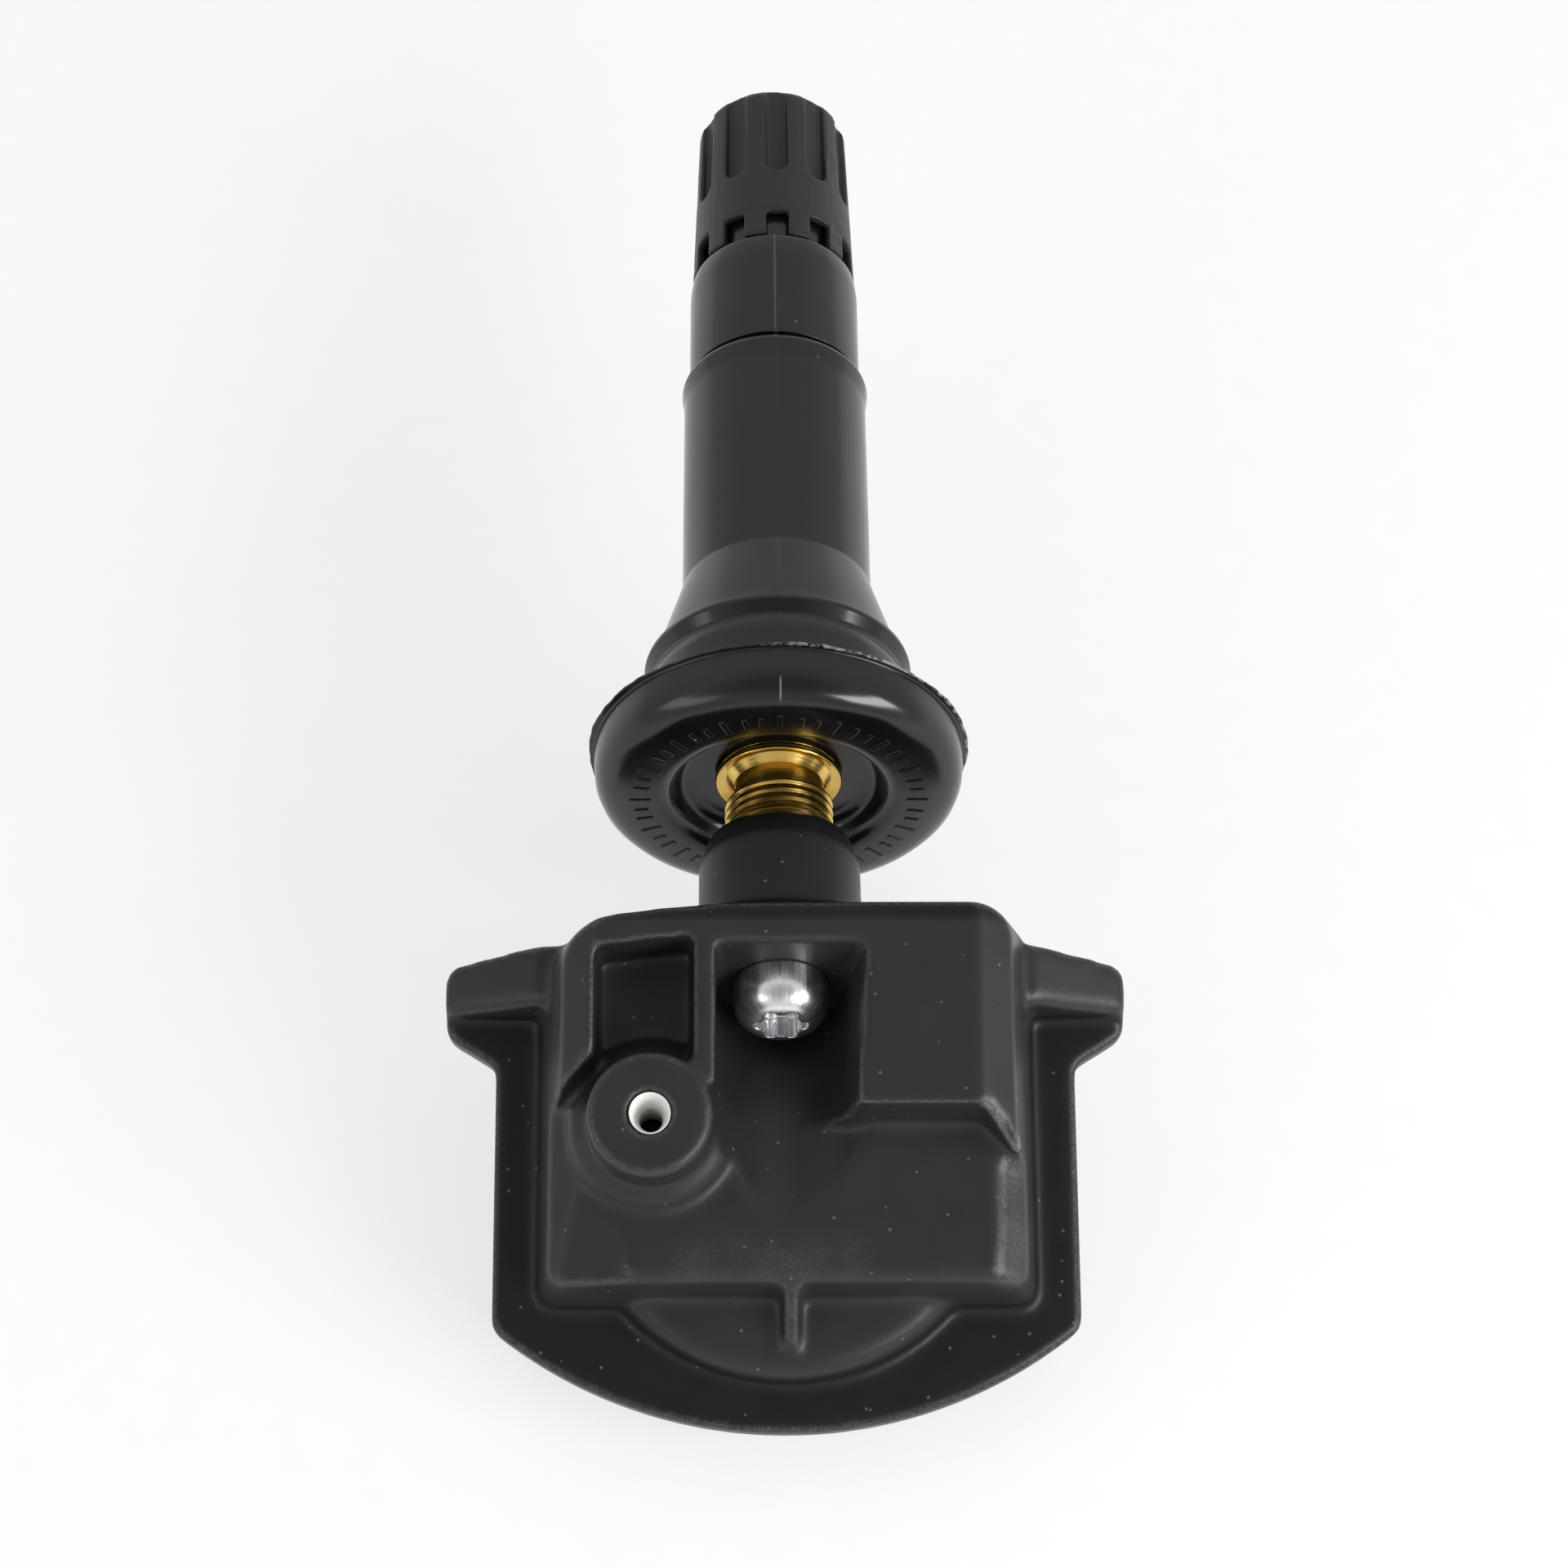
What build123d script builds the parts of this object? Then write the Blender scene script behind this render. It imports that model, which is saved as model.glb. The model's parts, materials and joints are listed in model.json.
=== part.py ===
"""Snap-in tyre pressure sensor: a rubber valve with a sensor module screwed to its brass tail.

The origin is the middle of the rim hole. +Y runs along the valve towards its cap, +X to the right, +Z up.
The module has a frame of its own: x as above, v towards the valve, w up from its plate.
Screw threads are drawn as plain cylinders at their pitch radius.
"""
from build123d import *
import math
import os

# Rubber stem: radii, and lengths along the valve axis
NECK_RADIUS = 7.1
NECK_LENGTH = 3.6
LIP_HEIGHT = 0.7
LIP_ROUND = 0.35
FLARE_RADIUS = 6.9
FLARE_LENGTH = 5.1
STEM_RADIUS = 5.15
STEM_LENGTH = 14.1
STEP_HEIGHT = 0.8
STEP_BEAD = 0.12
TIP_RADIUS = 4.85
TIP_LENGTH = 7.5
TIP_TAPER = 0.15
TIP_TAPER_LENGTH = 1.0
SPIGOT_RADIUS = 4.1
SPIGOT_HEIGHT = 2.1
FLANGE_RADIUS = 9.75
FLANGE_HEIGHT = 3.1
FLANGE_ROUND = 1.5
SHOULDER_DROP = 1.0
FLASH_WIDTH = 0.35
FLASH_THICKNESS = 0.25
DISH_RADIUS = 5.6
DISH_DEPTH = 1.6

# Brass stem
CAP_THREAD_RADIUS = 3.6
CAP_THREAD_LENGTH = 9.9
MOUTH_CHAMFER = 0.35
SHANK_RADIUS = 3.2
TAIL_RADIUS = 2.7
TAIL_LENGTH = 7.5
GROOVE_RADIUS = 2.35
GROOVE_LENGTH = 1.4
TAIL_LIP_HEIGHT = 0.7
AIR_BORE_RADIUS = 1.25
AIR_PORT_RADIUS = 0.6
TAIL_SLOT_WIDTH = 0.8
TAIL_SLOT_DEPTH = 0.5
TAIL_SLOT_ANGLE = 150

# Dust cap
CAP_GAP = 0.1
CAP_LENGTH = 12.1
CAP_SKIRT_RADIUS = 4.72
CAP_TOP_RADIUS = 4.35
CAP_ROUND = 1.0
CAP_END_WALL = 2.2
CAP_CLEARANCE = 0.08
CAP_SEAL_HEIGHT = 0.9
CAP_SEAL_BORE = 1.8
FLUTE_COUNT = 11
FLUTE_WIDTH = 1.28
FLUTE_LENGTH = 7.0
FLUTE_FLOOR_RADIUS = 3.98
FLUTE_TURN = 2.5
NOTCH_HEIGHT = 1.8

# Valve core
CORE_RECESS = 0.9
PLUG_RADIUS = 2.5
PLUG_LENGTH = 4.2
PLUG_BRIDGE = 2.0
PLUG_BRIDGE_HEIGHT = 1.6
BARREL_RADIUS = 1.7
BARREL_LENGTH = 5.9
BARREL_BORE = 1.25
BARREL_FLOOR = 0.6
CORE_CLEARANCE = 0.05
CHAMBER_RADIUS = 2.05
CHAMBER_SPARE = 4.5
SEAT_DEPTH = 6.6
SEAT_HEIGHT = 1.0
PIN_RADIUS = 0.5
PIN_RECESS = 0.3
PIN_COLLAR_HEIGHT = 0.45
CUP_RADIUS = 1.7
CUP_HEIGHT = 1.25
CUP_SEAL_HEIGHT = 0.35
SPRING_WIRE_RADIUS = 0.13
SPRING_WIRE_SIDES = 8
SPRING_TURNS = 6

# Clamp screw
SCREW_RADIUS = 1.45
SCREW_LENGTH = 9.0
SCREW_HEAD_RADIUS = 2.4
SCREW_HEAD_HEIGHT = 2.5
SCREW_HEAD_ROUND = 1.3
SCREW_HOLE_GAP = 0.2
SOCKET_RADIUS = 1.4
SOCKET_LOBE_RADIUS = 0.34
SOCKET_DEPTH = 1.2
CLAMP_WALL = 3.1

# Collar of the housing on the brass tail
COLLAR_RADIUS = 4.2
COLLAR_ROUND = 1.2
COLLAR_DEPTH = 4.6
COLLAR_GAP = 0.08

# Module: tilt against the valve axis, and levels above the plate's upper face
MODULE_TILT = 18.0
AXIS_HEIGHT = 3.6
MODULE_SETBACK = 1.3
MODULE_SHIFT = 0.3
TOP_LEVEL = 8.3
LOW_LEVEL = 4.7
BULGE_LEVEL = 1.7
BOSS_LEVEL = 8.6
PLATE_THICKNESS = 2.2

# Plate and ears
REAR_REACH = 2.3
REAR_ARC_RADIUS = 60.0
PLATE_REAR_STEP = 0.45
FOOT_SETBACK = 0.3
PLATE_HALF_WIDTH = 15.0
PLATE_REACH = 23.9
PLATE_ARC_RADIUS = 24.1
PLATE_CORNER_ROUND = 0.9
EAR_HALF_WIDTH = 17.6
EAR_REAR_INNER = 0.5
EAR_REAR_OUTER = -0.15
EAR_SIDE_END = 3.6
EAR_NOTCH = 5.2
EAR_ROUND = 0.9
EAR_LIP_FRONT = 2.7
EAR_LIP_HIGH = 3.5
EAR_LIP_LOW = 0.8
EAR_LIP_ROUND = 0.6

# Block on the plate
BLOCK_HALF_WIDTH = 12.7
BLOCK_REACH = 17.7
BLOCK_DRAFT = 11.3
REAR_DRAFT = 4.7
BLOCK_LEFT_ROUND = 2.6
BLOCK_RIGHT_ROUND = 1.8
BLOCK_FRONT_ROUND = 0.9
FRONT_EDGE_ROUND = 0.8
TOP_WALL = 1.55
PLATEAU_REACH = 8.9
LEFT_STRIP_REACH = 6.3
PLATEAU_HALF_WIDTH = 9.6
CHAMFER_SLOPE = 35.0
LOW_HALF_WIDTH = 10.4
STEP_DRAFT = 5.0
CORNER_FACET_TILT = 11.0
CORNER_FACET_TURN = 45.0
CORNER_FACET_REACH = 12.0
CORNER_FACET_EDGE = 8.0

# Rib, boss, trough and bulge
RIB_LEFT = -4.7
BOSS_X = -6.8
BOSS_V = -9.1
BOSS_RADIUS = 3.15
BOSS_EDGE_ROUND = 0.25
BOSS_ROOT_ROUND = 1.1
PORT_RADIUS = 1.05
TROUGH_RADIUS = 3.3
TROUGH_FLANK = 12.0
SPLAY_FOOT_X = 1.0
SPLAY_CORNER = (2.9, -2.65)
SPLAY_EDGE = (4.7, -1.75)
BULGE_V = -10.2
BULGE_RADIUS = 11.2
BULGE_ROUND = 1.2
BULGE_RIB_WIDTH = 0.8
BULGE_RIB_X = 0.15
BULGE_RIB_REACH = 19.9
BULGE_RIB_HIGH = 4.5
BULGE_RIB_LOW = 2.0

# Cavity and cover
WALL = 1.2
TROUGH_WALL = 0.65
SCREW_WALL = 1.5
CAVITY_REAR = 1.2
COVER_HEIGHT = 2.1
COVER_FLOOR = 0.9
COVER_INSET = 0.2
COVER_PAD = 0.3

# Port bush
FUNNEL_RADIUS = 1.0
FUNNEL_THROAT = 0.6
FUNNEL_DEPTH = 2.2
BUSH_FOOT_RADIUS = 1.9
BUSH_FOOT_HEIGHT = 0.9
BUSH_GAP = 0.03

# Cell, board and the parts on it
CELL_RADIUS = 10.0
CELL_HEIGHT = 3.2
CELL_GAP = 0.2
CELL_CAP_RADIUS = 8.6
CELL_CAP_STEP = 0.5
CELL_EDGE_BEVEL = 0.3
TAB_WIDTH = 3.0
TAB_THICKNESS = 0.15
TAB_REACH = 5.0
TAB_LEG_GAP = 0.25
TAB_V = -11.0
TAB_ABOVE_BOARD = 0.3
BOARD_THICKNESS = 0.8
BOARD_ABOVE_CELL = 0.65
BOARD_GAP = 0.35
BOARD_NOTCH_HALF_WIDTH = 4.5
BOARD_NOTCH_REACH = 6.8
STAKE_RADIUS = 0.7
STAKE_SHOULDER = 1.1
STAKE_BELOW_BOARD = 0.25
STAKE_GAP = 0.1
STAKE_INSET = 1.5
SENSOR_CHIP_SIZE = 5.0
SENSOR_CHIP_HEIGHT = 1.9
RADIO_CHIP_SIZE = 4.0
RADIO_CHIP_HEIGHT = 0.85
RADIO_CHIP_X = 1.6
RADIO_CHIP_INSET = 3.3
CRYSTAL_LENGTH = 3.2
CRYSTAL_WIDTH = 2.5
CRYSTAL_HEIGHT = 0.7
CRYSTAL_X = 5.7
CRYSTAL_INSET = 3.9
COIL_LENGTH = 4.6
COIL_WIDTH = 2.0
COIL_HEIGHT = 1.9
COIL_FLANGE = 0.8
COIL_NECK = 0.45
WINDING_DEPTH = 0.35
ANTENNA_WIRE_RADIUS = 0.35
ANTENNA_SPAN = 11.0
ANTENNA_RISE = 1.5
ANTENNA_BEND = 0.8
ANTENNA_INSET = 0.7
CAPACITOR_SIZE = (1.0, 0.5, 0.5)
CAPACITOR_SPOTS = [(-3.2, 3.4), (-1.6, 3.4), (-3.2, 4.6), (4.6, 5.75), (5.9, 5.75), (7.2, 5.75)]
RESISTOR_SIZE = (1.0, 0.5, 0.35)
RESISTOR_SPOTS = [(-6.4, 2.0), (-5.0, 2.0), (-3.6, 2.0), (-2.2, 2.0)]

# Stations along the valve axis
neck_top = NECK_LENGTH / 2
lip_top = neck_top + LIP_HEIGHT
flare_top = lip_top + FLARE_LENGTH
step_low = flare_top + STEM_LENGTH
step_high = step_low + STEP_HEIGHT
tip_top = step_high + TIP_LENGTH
spigot_top = tip_top + SPIGOT_HEIGHT
shoulder = -neck_top
flash_top = shoulder - SHOULDER_DROP
flange_base = flash_top - FLANGE_HEIGHT
dish_floor = flange_base + DISH_DEPTH
cap_low = tip_top + CAP_GAP
cap_top = cap_low + CAP_LENGTH
cap_ceiling = cap_top - CAP_END_WALL
mouth = cap_ceiling - CAP_SEAL_HEIGHT
tail_top = dish_floor - TAIL_LIP_HEIGHT - GROOVE_LENGTH
tail_end = tail_top - TAIL_LENGTH
collar_end = tail_end + COLLAR_DEPTH
screw_seat = tail_end - CLAMP_WALL
screw_tip = screw_seat + SCREW_LENGTH
screw_hole_radius = SCREW_RADIUS + CORE_CLEARANCE
plug_top = mouth - CORE_RECESS
plug_base = plug_top - PLUG_LENGTH
barrel_base = plug_base - BARREL_LENGTH
chamber_base = barrel_base - CUP_HEIGHT - CHAMBER_SPARE
seat_top = mouth - SEAT_DEPTH
seat_base = seat_top - SEAT_HEIGHT

# Levels and places in the module's frame
tilt = math.radians(MODULE_TILT)
origin_y = tail_end - MODULE_SETBACK
MODULE = Plane(
    origin=(MODULE_SHIFT, origin_y + AXIS_HEIGHT * math.sin(tilt), -AXIS_HEIGHT * math.cos(tilt)),
    x_dir=(1, 0, 0),
    z_dir=(0, -math.sin(tilt), math.cos(tilt)),
)
cover_top = -PLATE_THICKNESS
cover_base = cover_top - COVER_HEIGHT
cover_floor = cover_base + COVER_FLOOR
cell_base = cover_floor + TAB_THICKNESS
cell_top = cell_base + CELL_HEIGHT
board_base = cell_top + BOARD_ABOVE_CELL
board_top = board_base + BOARD_THICKNESS
low_ceiling = LOW_LEVEL - WALL
plate_rear = REAR_REACH - PLATE_REAR_STEP
side_draft = math.tan(math.radians(BLOCK_DRAFT))
rear_draft = math.tan(math.radians(REAR_DRAFT))
ABOVE = 20.0


def turned(points):
    """Solid of revolution about the valve axis from (radius, station) points."""
    return revolve(make_face(Polyline(*points, close=True)), Axis.Y)


def rounded(face, corners):
    """Round the corners of a flat face that lie nearest to the given points."""
    for place, radius in corners:
        corner = face.vertices().sort_by_distance((place[0], place[1], 0))[0]
        face = fillet(corner, radius)
    return face


def around_valve(solid, count):
    """Copies of a solid at equal angles about the valve axis."""
    return [Rot(0, step * 360 / count, 0) * solid for step in range(count)]


def along_valve(sketch, start, end):
    """Prism of a sketch in (x, z), from one station on the valve axis down to a lower one."""
    return extrude(Plane.XZ.offset(-start) * sketch, start - end)


def block_between(x_range, v_range, w_range):
    """Box in the module's frame between three pairs of limits."""
    low = (x_range[0], v_range[0], w_range[0])
    size = (x_range[1] - x_range[0], v_range[1] - v_range[0], w_range[1] - w_range[0])
    return Pos(*low) * Box(*size, align=(Align.MIN, Align.MIN, Align.MIN))


def upright(radius, x, v, low, high):
    """Upright cylinder in the module's frame."""
    return Pos(x, v, low) * Cylinder(radius, high - low, align=(Align.CENTER, Align.CENTER, Align.MIN))


def rear_v(x, reach):
    """Place of the curved rear wall at a given x, for its reach in the middle."""
    return reach - REAR_ARC_RADIUS + math.sqrt(REAR_ARC_RADIUS ** 2 - x ** 2)


def rear_arc(half_width, reach):
    """Rear edge as an arc from right to left."""
    end = rear_v(half_width, reach)
    return ThreePointArc((half_width, end), (0, reach), (-half_width, end))


def left_rear_arc(right, left, reach):
    """Left stretch of the same arc, between two distances to the left of the middle."""
    places = (right, (right + left) / 2, left)
    return ThreePointArc(*[(-x, rear_v(x, reach)) for x in places])


def rubber_stem():
    points = [
        (SHANK_RADIUS, dish_floor),
        (DISH_RADIUS, dish_floor),
        (DISH_RADIUS, flange_base),
        (FLANGE_RADIUS, flange_base),
        (FLANGE_RADIUS, flash_top - FLASH_THICKNESS),
        (FLANGE_RADIUS + FLASH_WIDTH, flash_top - FLASH_THICKNESS),
        (FLANGE_RADIUS + FLASH_WIDTH, flash_top),
        (FLANGE_RADIUS, flash_top),
        (NECK_RADIUS, shoulder),
        (NECK_RADIUS, neck_top),
        (FLARE_RADIUS, lip_top),
        (STEM_RADIUS, flare_top),
        (STEM_RADIUS, step_low - STEP_HEIGHT),
        (STEM_RADIUS + STEP_BEAD, step_low),
        (TIP_RADIUS, step_high),
        (TIP_RADIUS, tip_top - TIP_TAPER_LENGTH),
        (TIP_RADIUS - TIP_TAPER, tip_top),
        (SPIGOT_RADIUS, tip_top),
        (SPIGOT_RADIUS, spigot_top),
        (CAP_THREAD_RADIUS, spigot_top),
        (CAP_THREAD_RADIUS, mouth - CAP_THREAD_LENGTH),
        (SHANK_RADIUS, mouth - CAP_THREAD_LENGTH),
    ]
    profile = make_face(Polyline(*points, close=True))
    profile = rounded(profile, [
        ((FLANGE_RADIUS, flange_base), FLANGE_ROUND),
        ((DISH_RADIUS, flange_base), FLANGE_ROUND / 3),
        ((NECK_RADIUS, neck_top), LIP_ROUND),
    ])
    return revolve(profile, Axis.Y)


def brass_stem():
    outside = turned([
        (0, tail_end),
        (TAIL_RADIUS, tail_end),
        (TAIL_RADIUS, tail_top),
        (GROOVE_RADIUS, tail_top),
        (GROOVE_RADIUS, tail_top + GROOVE_LENGTH),
        (SHANK_RADIUS, dish_floor),
        (SHANK_RADIUS, mouth - CAP_THREAD_LENGTH),
        (CAP_THREAD_RADIUS, mouth - CAP_THREAD_LENGTH),
        (CAP_THREAD_RADIUS, mouth - MOUTH_CHAMFER),
        (CAP_THREAD_RADIUS - MOUTH_CHAMFER, mouth),
        (0, mouth),
    ])
    inside = turned([
        (0, tail_end),
        (screw_hole_radius, tail_end),
        (screw_hole_radius, screw_tip + CORE_CLEARANCE),
        (AIR_BORE_RADIUS, tail_top),
        (AIR_BORE_RADIUS, chamber_base - CHAMBER_RADIUS + AIR_BORE_RADIUS),
        (CHAMBER_RADIUS, chamber_base),
        (CHAMBER_RADIUS, seat_base),
        (PLUG_RADIUS + CORE_CLEARANCE, seat_top),
        (PLUG_RADIUS + CORE_CLEARANCE, mouth),
        (0, mouth),
    ])
    air_port = Rot(0, 90, 0) * Cylinder(AIR_PORT_RADIUS, 2 * SHANK_RADIUS)
    air_port = Pos(0, tail_top + GROOVE_LENGTH / 2, 0) * air_port
    slot = Box(2 * TAIL_SLOT_DEPTH, TAIL_LENGTH, TAIL_SLOT_WIDTH)
    slot = Pos(TAIL_RADIUS, (tail_end + tail_top) / 2, 0) * slot
    return outside - inside - air_port - Rot(0, -TAIL_SLOT_ANGLE, 0) * slot


def valve_cap():
    bore_radius = CAP_THREAD_RADIUS + CAP_CLEARANCE
    skirt_bore = SPIGOT_RADIUS + CAP_CLEARANCE
    skirt_bore_top = spigot_top + CAP_GAP
    profile = make_face(Polyline(
        (skirt_bore, cap_low),
        (CAP_SKIRT_RADIUS, cap_low),
        (CAP_TOP_RADIUS, cap_top),
        (0, cap_top),
        (0, cap_ceiling),
        (bore_radius, cap_ceiling),
        (bore_radius, skirt_bore_top),
        (skirt_bore, skirt_bore_top),
        close=True,
    ))
    cap = revolve(rounded(profile, [((CAP_TOP_RADIUS, cap_top), CAP_ROUND)]), Axis.Y)
    flute_end = cap_top - FLUTE_LENGTH + FLUTE_WIDTH / 2
    outline = Pos(0, (flute_end + ABOVE * 3) / 2) * Rectangle(FLUTE_WIDTH, ABOVE * 3 - flute_end)
    outline += Pos(0, flute_end) * Circle(FLUTE_WIDTH / 2)
    flute = extrude(Pos(0, 0, FLUTE_FLOOR_RADIUS) * outline, CAP_SKIRT_RADIUS)
    notch = Box(FLUTE_WIDTH, 2 * NOTCH_HEIGHT, CAP_SKIRT_RADIUS - PLUG_RADIUS)
    notch = Pos(0, cap_low, CAP_SKIRT_RADIUS) * notch
    cap = cap - around_valve(flute, FLUTE_COUNT) - around_valve(notch, FLUTE_COUNT)
    return Rot(0, FLUTE_TURN, 0) * cap


def cap_seal():
    return turned([
        (CAP_SEAL_BORE, mouth),
        (CAP_THREAD_RADIUS, mouth),
        (CAP_THREAD_RADIUS, cap_ceiling),
        (CAP_SEAL_BORE, cap_ceiling),
    ])


def core_plug():
    pin_hole = PIN_RADIUS + CORE_CLEARANCE
    body = turned([
        (pin_hole, barrel_base),
        (BARREL_RADIUS, barrel_base),
        (BARREL_RADIUS, plug_base),
        (PLUG_RADIUS, plug_base),
        (PLUG_RADIUS, plug_top),
        (pin_hole, plug_top),
        (pin_hole, plug_base),
        (BARREL_BORE, plug_base),
        (BARREL_BORE, barrel_base + BARREL_FLOOR),
        (pin_hole, barrel_base + BARREL_FLOOR),
    ])
    cheek = Box(PLUG_RADIUS, PLUG_BRIDGE_HEIGHT, 2 * PLUG_RADIUS)
    cheek_x = (PLUG_BRIDGE + PLUG_RADIUS) / 2
    cheeks = [Pos(side * cheek_x, plug_top - PLUG_BRIDGE_HEIGHT / 2, 0) * cheek for side in (-1, 1)]
    return body - cheeks


def core_barrel_seal():
    return turned([
        (BARREL_RADIUS + CORE_CLEARANCE, seat_base),
        (CHAMBER_RADIUS - CORE_CLEARANCE, seat_base),
        (PLUG_RADIUS - CORE_CLEARANCE, seat_top),
        (BARREL_RADIUS + CORE_CLEARANCE, seat_top),
    ])


def core_pin():
    pin_top = mouth - PIN_RECESS
    collar_top = plug_base - CORE_CLEARANCE
    pin_base = barrel_base - CUP_SEAL_HEIGHT - CUP_HEIGHT
    return turned([
        (0, pin_base),
        (PIN_RADIUS, pin_base),
        (PIN_RADIUS, collar_top - PIN_COLLAR_HEIGHT),
        (BARREL_BORE - CORE_CLEARANCE, collar_top - PIN_COLLAR_HEIGHT),
        (BARREL_BORE - CORE_CLEARANCE, collar_top),
        (PIN_RADIUS, collar_top),
        (PIN_RADIUS, pin_top - PIN_RADIUS / 2),
        (PIN_RADIUS / 2, pin_top),
        (0, pin_top),
    ])


def core_spring():
    low = barrel_base + BARREL_FLOOR + SPRING_WIRE_RADIUS + CORE_CLEARANCE
    high = plug_base - PIN_COLLAR_HEIGHT - SPRING_WIRE_RADIUS - 2 * CORE_CLEARANCE
    coil_radius = (PIN_RADIUS + BARREL_BORE) / 2
    path = Helix((high - low) / SPRING_TURNS, high - low, coil_radius)
    section = RegularPolygon(SPRING_WIRE_RADIUS, SPRING_WIRE_SIDES)
    wire = sweep(Plane(path @ 0, z_dir=path % 0) * section, path)
    return Pos(0, low, 0) * Rot(-90, 0, 0) * wire


def core_cup():
    cup_top = barrel_base - CUP_SEAL_HEIGHT
    return turned([
        (PIN_RADIUS, cup_top - CUP_HEIGHT),
        (CUP_RADIUS / 2, cup_top - CUP_HEIGHT),
        (CUP_RADIUS, cup_top - CUP_HEIGHT / 2),
        (CUP_RADIUS, cup_top),
        (PIN_RADIUS, cup_top),
    ])


def core_cup_seal():
    seal_radius = CUP_RADIUS - 2 * CORE_CLEARANCE
    return turned([
        (PIN_RADIUS, barrel_base - CUP_SEAL_HEIGHT),
        (seal_radius, barrel_base - CUP_SEAL_HEIGHT),
        (seal_radius, barrel_base),
        (PIN_RADIUS, barrel_base),
    ])


def clamp_screw():
    head_end = screw_seat - SCREW_HEAD_HEIGHT
    profile = make_face(Polyline(
        (0, head_end),
        (SCREW_HEAD_RADIUS, head_end),
        (SCREW_HEAD_RADIUS, screw_seat),
        (SCREW_RADIUS, screw_seat),
        (SCREW_RADIUS, screw_tip - SCREW_RADIUS / 2),
        (SCREW_RADIUS / 2, screw_tip),
        (0, screw_tip),
        close=True,
    ))
    screw = revolve(rounded(profile, [((SCREW_HEAD_RADIUS, head_end), SCREW_HEAD_ROUND)]), Axis.Y)
    core = Circle(SOCKET_RADIUS - SOCKET_LOBE_RADIUS)
    lobes = PolarLocations(SOCKET_RADIUS - SOCKET_LOBE_RADIUS, 6) * Circle(SOCKET_LOBE_RADIUS)
    return screw - along_valve(core + lobes, head_end + SOCKET_DEPTH, head_end - SOCKET_DEPTH)


def plate_outline(half_width, reach, arc_radius, rear_reach, corner_round):
    """Plan of the plate without its ears: curved rear, straight sides and a large front arc."""
    rear = rear_v(half_width, rear_reach)
    front = arc_radius - reach - math.sqrt(arc_radius ** 2 - half_width ** 2)
    face = make_face([
        rear_arc(half_width, rear_reach),
        Line((-half_width, rear), (-half_width, front)),
        ThreePointArc((-half_width, front), (0, -reach), (half_width, front)),
        Line((half_width, front), (half_width, rear)),
    ])
    return rounded(face, [((side * half_width, front), corner_round) for side in (-1, 1)])


def ear_outline():
    """Plan of both ears with the strip of plate between them."""
    right = [
        (PLATE_HALF_WIDTH, -EAR_NOTCH),
        (EAR_HALF_WIDTH, -EAR_SIDE_END),
        (EAR_HALF_WIDTH, EAR_REAR_OUTER),
        (BLOCK_HALF_WIDTH, EAR_REAR_INNER),
    ]
    left = [(-x, v) for x, v in reversed(right)]
    face = make_face(Polyline(*right, *left, close=True))
    corners = [(side * EAR_HALF_WIDTH, v) for side in (-1, 1) for v in (EAR_REAR_OUTER, -EAR_SIDE_END)]
    return rounded(face, [(corner, EAR_ROUND) for corner in corners])


def ear_lips():
    """Raised bars along the rear of the ears, falling towards their tips."""
    bar = extrude(ear_outline(), EAR_LIP_HIGH)
    bar -= block_between((-ABOVE, ABOVE), (-ABOVE, -EAR_LIP_FRONT), (-ABOVE, ABOVE))
    fall = Plane.XZ.offset(-ABOVE) * make_face(Polyline(
        (-EAR_HALF_WIDTH, 0),
        (EAR_HALF_WIDTH, 0),
        (EAR_HALF_WIDTH, EAR_LIP_LOW),
        (BLOCK_HALF_WIDTH, EAR_LIP_HIGH),
        (-BLOCK_HALF_WIDTH, EAR_LIP_HIGH),
        (-EAR_HALF_WIDTH, EAR_LIP_LOW),
        close=True,
    ))
    bar = bar & extrude(fall, 2 * ABOVE)
    front = bar.faces().sort_by(Axis.Y)[0]
    return fillet(front.edges().filter_by(lambda edge: edge.center().Z > EAR_LIP_LOW), EAR_LIP_ROUND)


def block_outline(level):
    """Plan of the drafted block at a level above the plate: its rear is straight right and curved left."""
    half_width = BLOCK_HALF_WIDTH - level * side_draft
    rear_reach = REAR_REACH - level * rear_draft
    front = -BLOCK_REACH + level * side_draft
    rear = rear_v(half_width, rear_reach)
    return Pos(0, 0, level) * make_face([
        left_rear_arc(0, half_width, rear_reach),
        Polyline(
            (-half_width, rear),
            (-half_width, front),
            (half_width, front),
            (half_width, rear_reach),
            (0, rear_reach),
        ),
    ])


def chamfer_wedge(side, inner, level, rear):
    """Wedge that slopes one long edge of a raised surface down to its side, from a rear end forwards."""
    drop = (ABOVE - inner) * math.tan(math.radians(CHAMFER_SLOPE))
    corners = [(inner, level), (ABOVE, level - drop), (ABOVE, ABOVE), (inner, ABOVE)]
    face = make_face(Polyline(*[(side * x, w) for x, w in corners], close=True))
    return extrude(Plane.XZ.offset(-rear) * face, 3 * ABOVE)


def front_rounding():
    """Cut that rounds the front edge of the low surface, right across the block."""
    corner = (-BLOCK_REACH + LOW_LEVEL * side_draft, LOW_LEVEL)
    section = make_face(Polyline(corner, (0, LOW_LEVEL), (0, 0), (-BLOCK_REACH, 0), close=True))
    air = Pos(*corner) * Rectangle(2 * FRONT_EDGE_ROUND, 2 * FRONT_EDGE_ROUND)
    air -= rounded(section, [(corner, FRONT_EDGE_ROUND)])
    return extrude(Plane.YZ * air, ABOVE, both=True)


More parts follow.
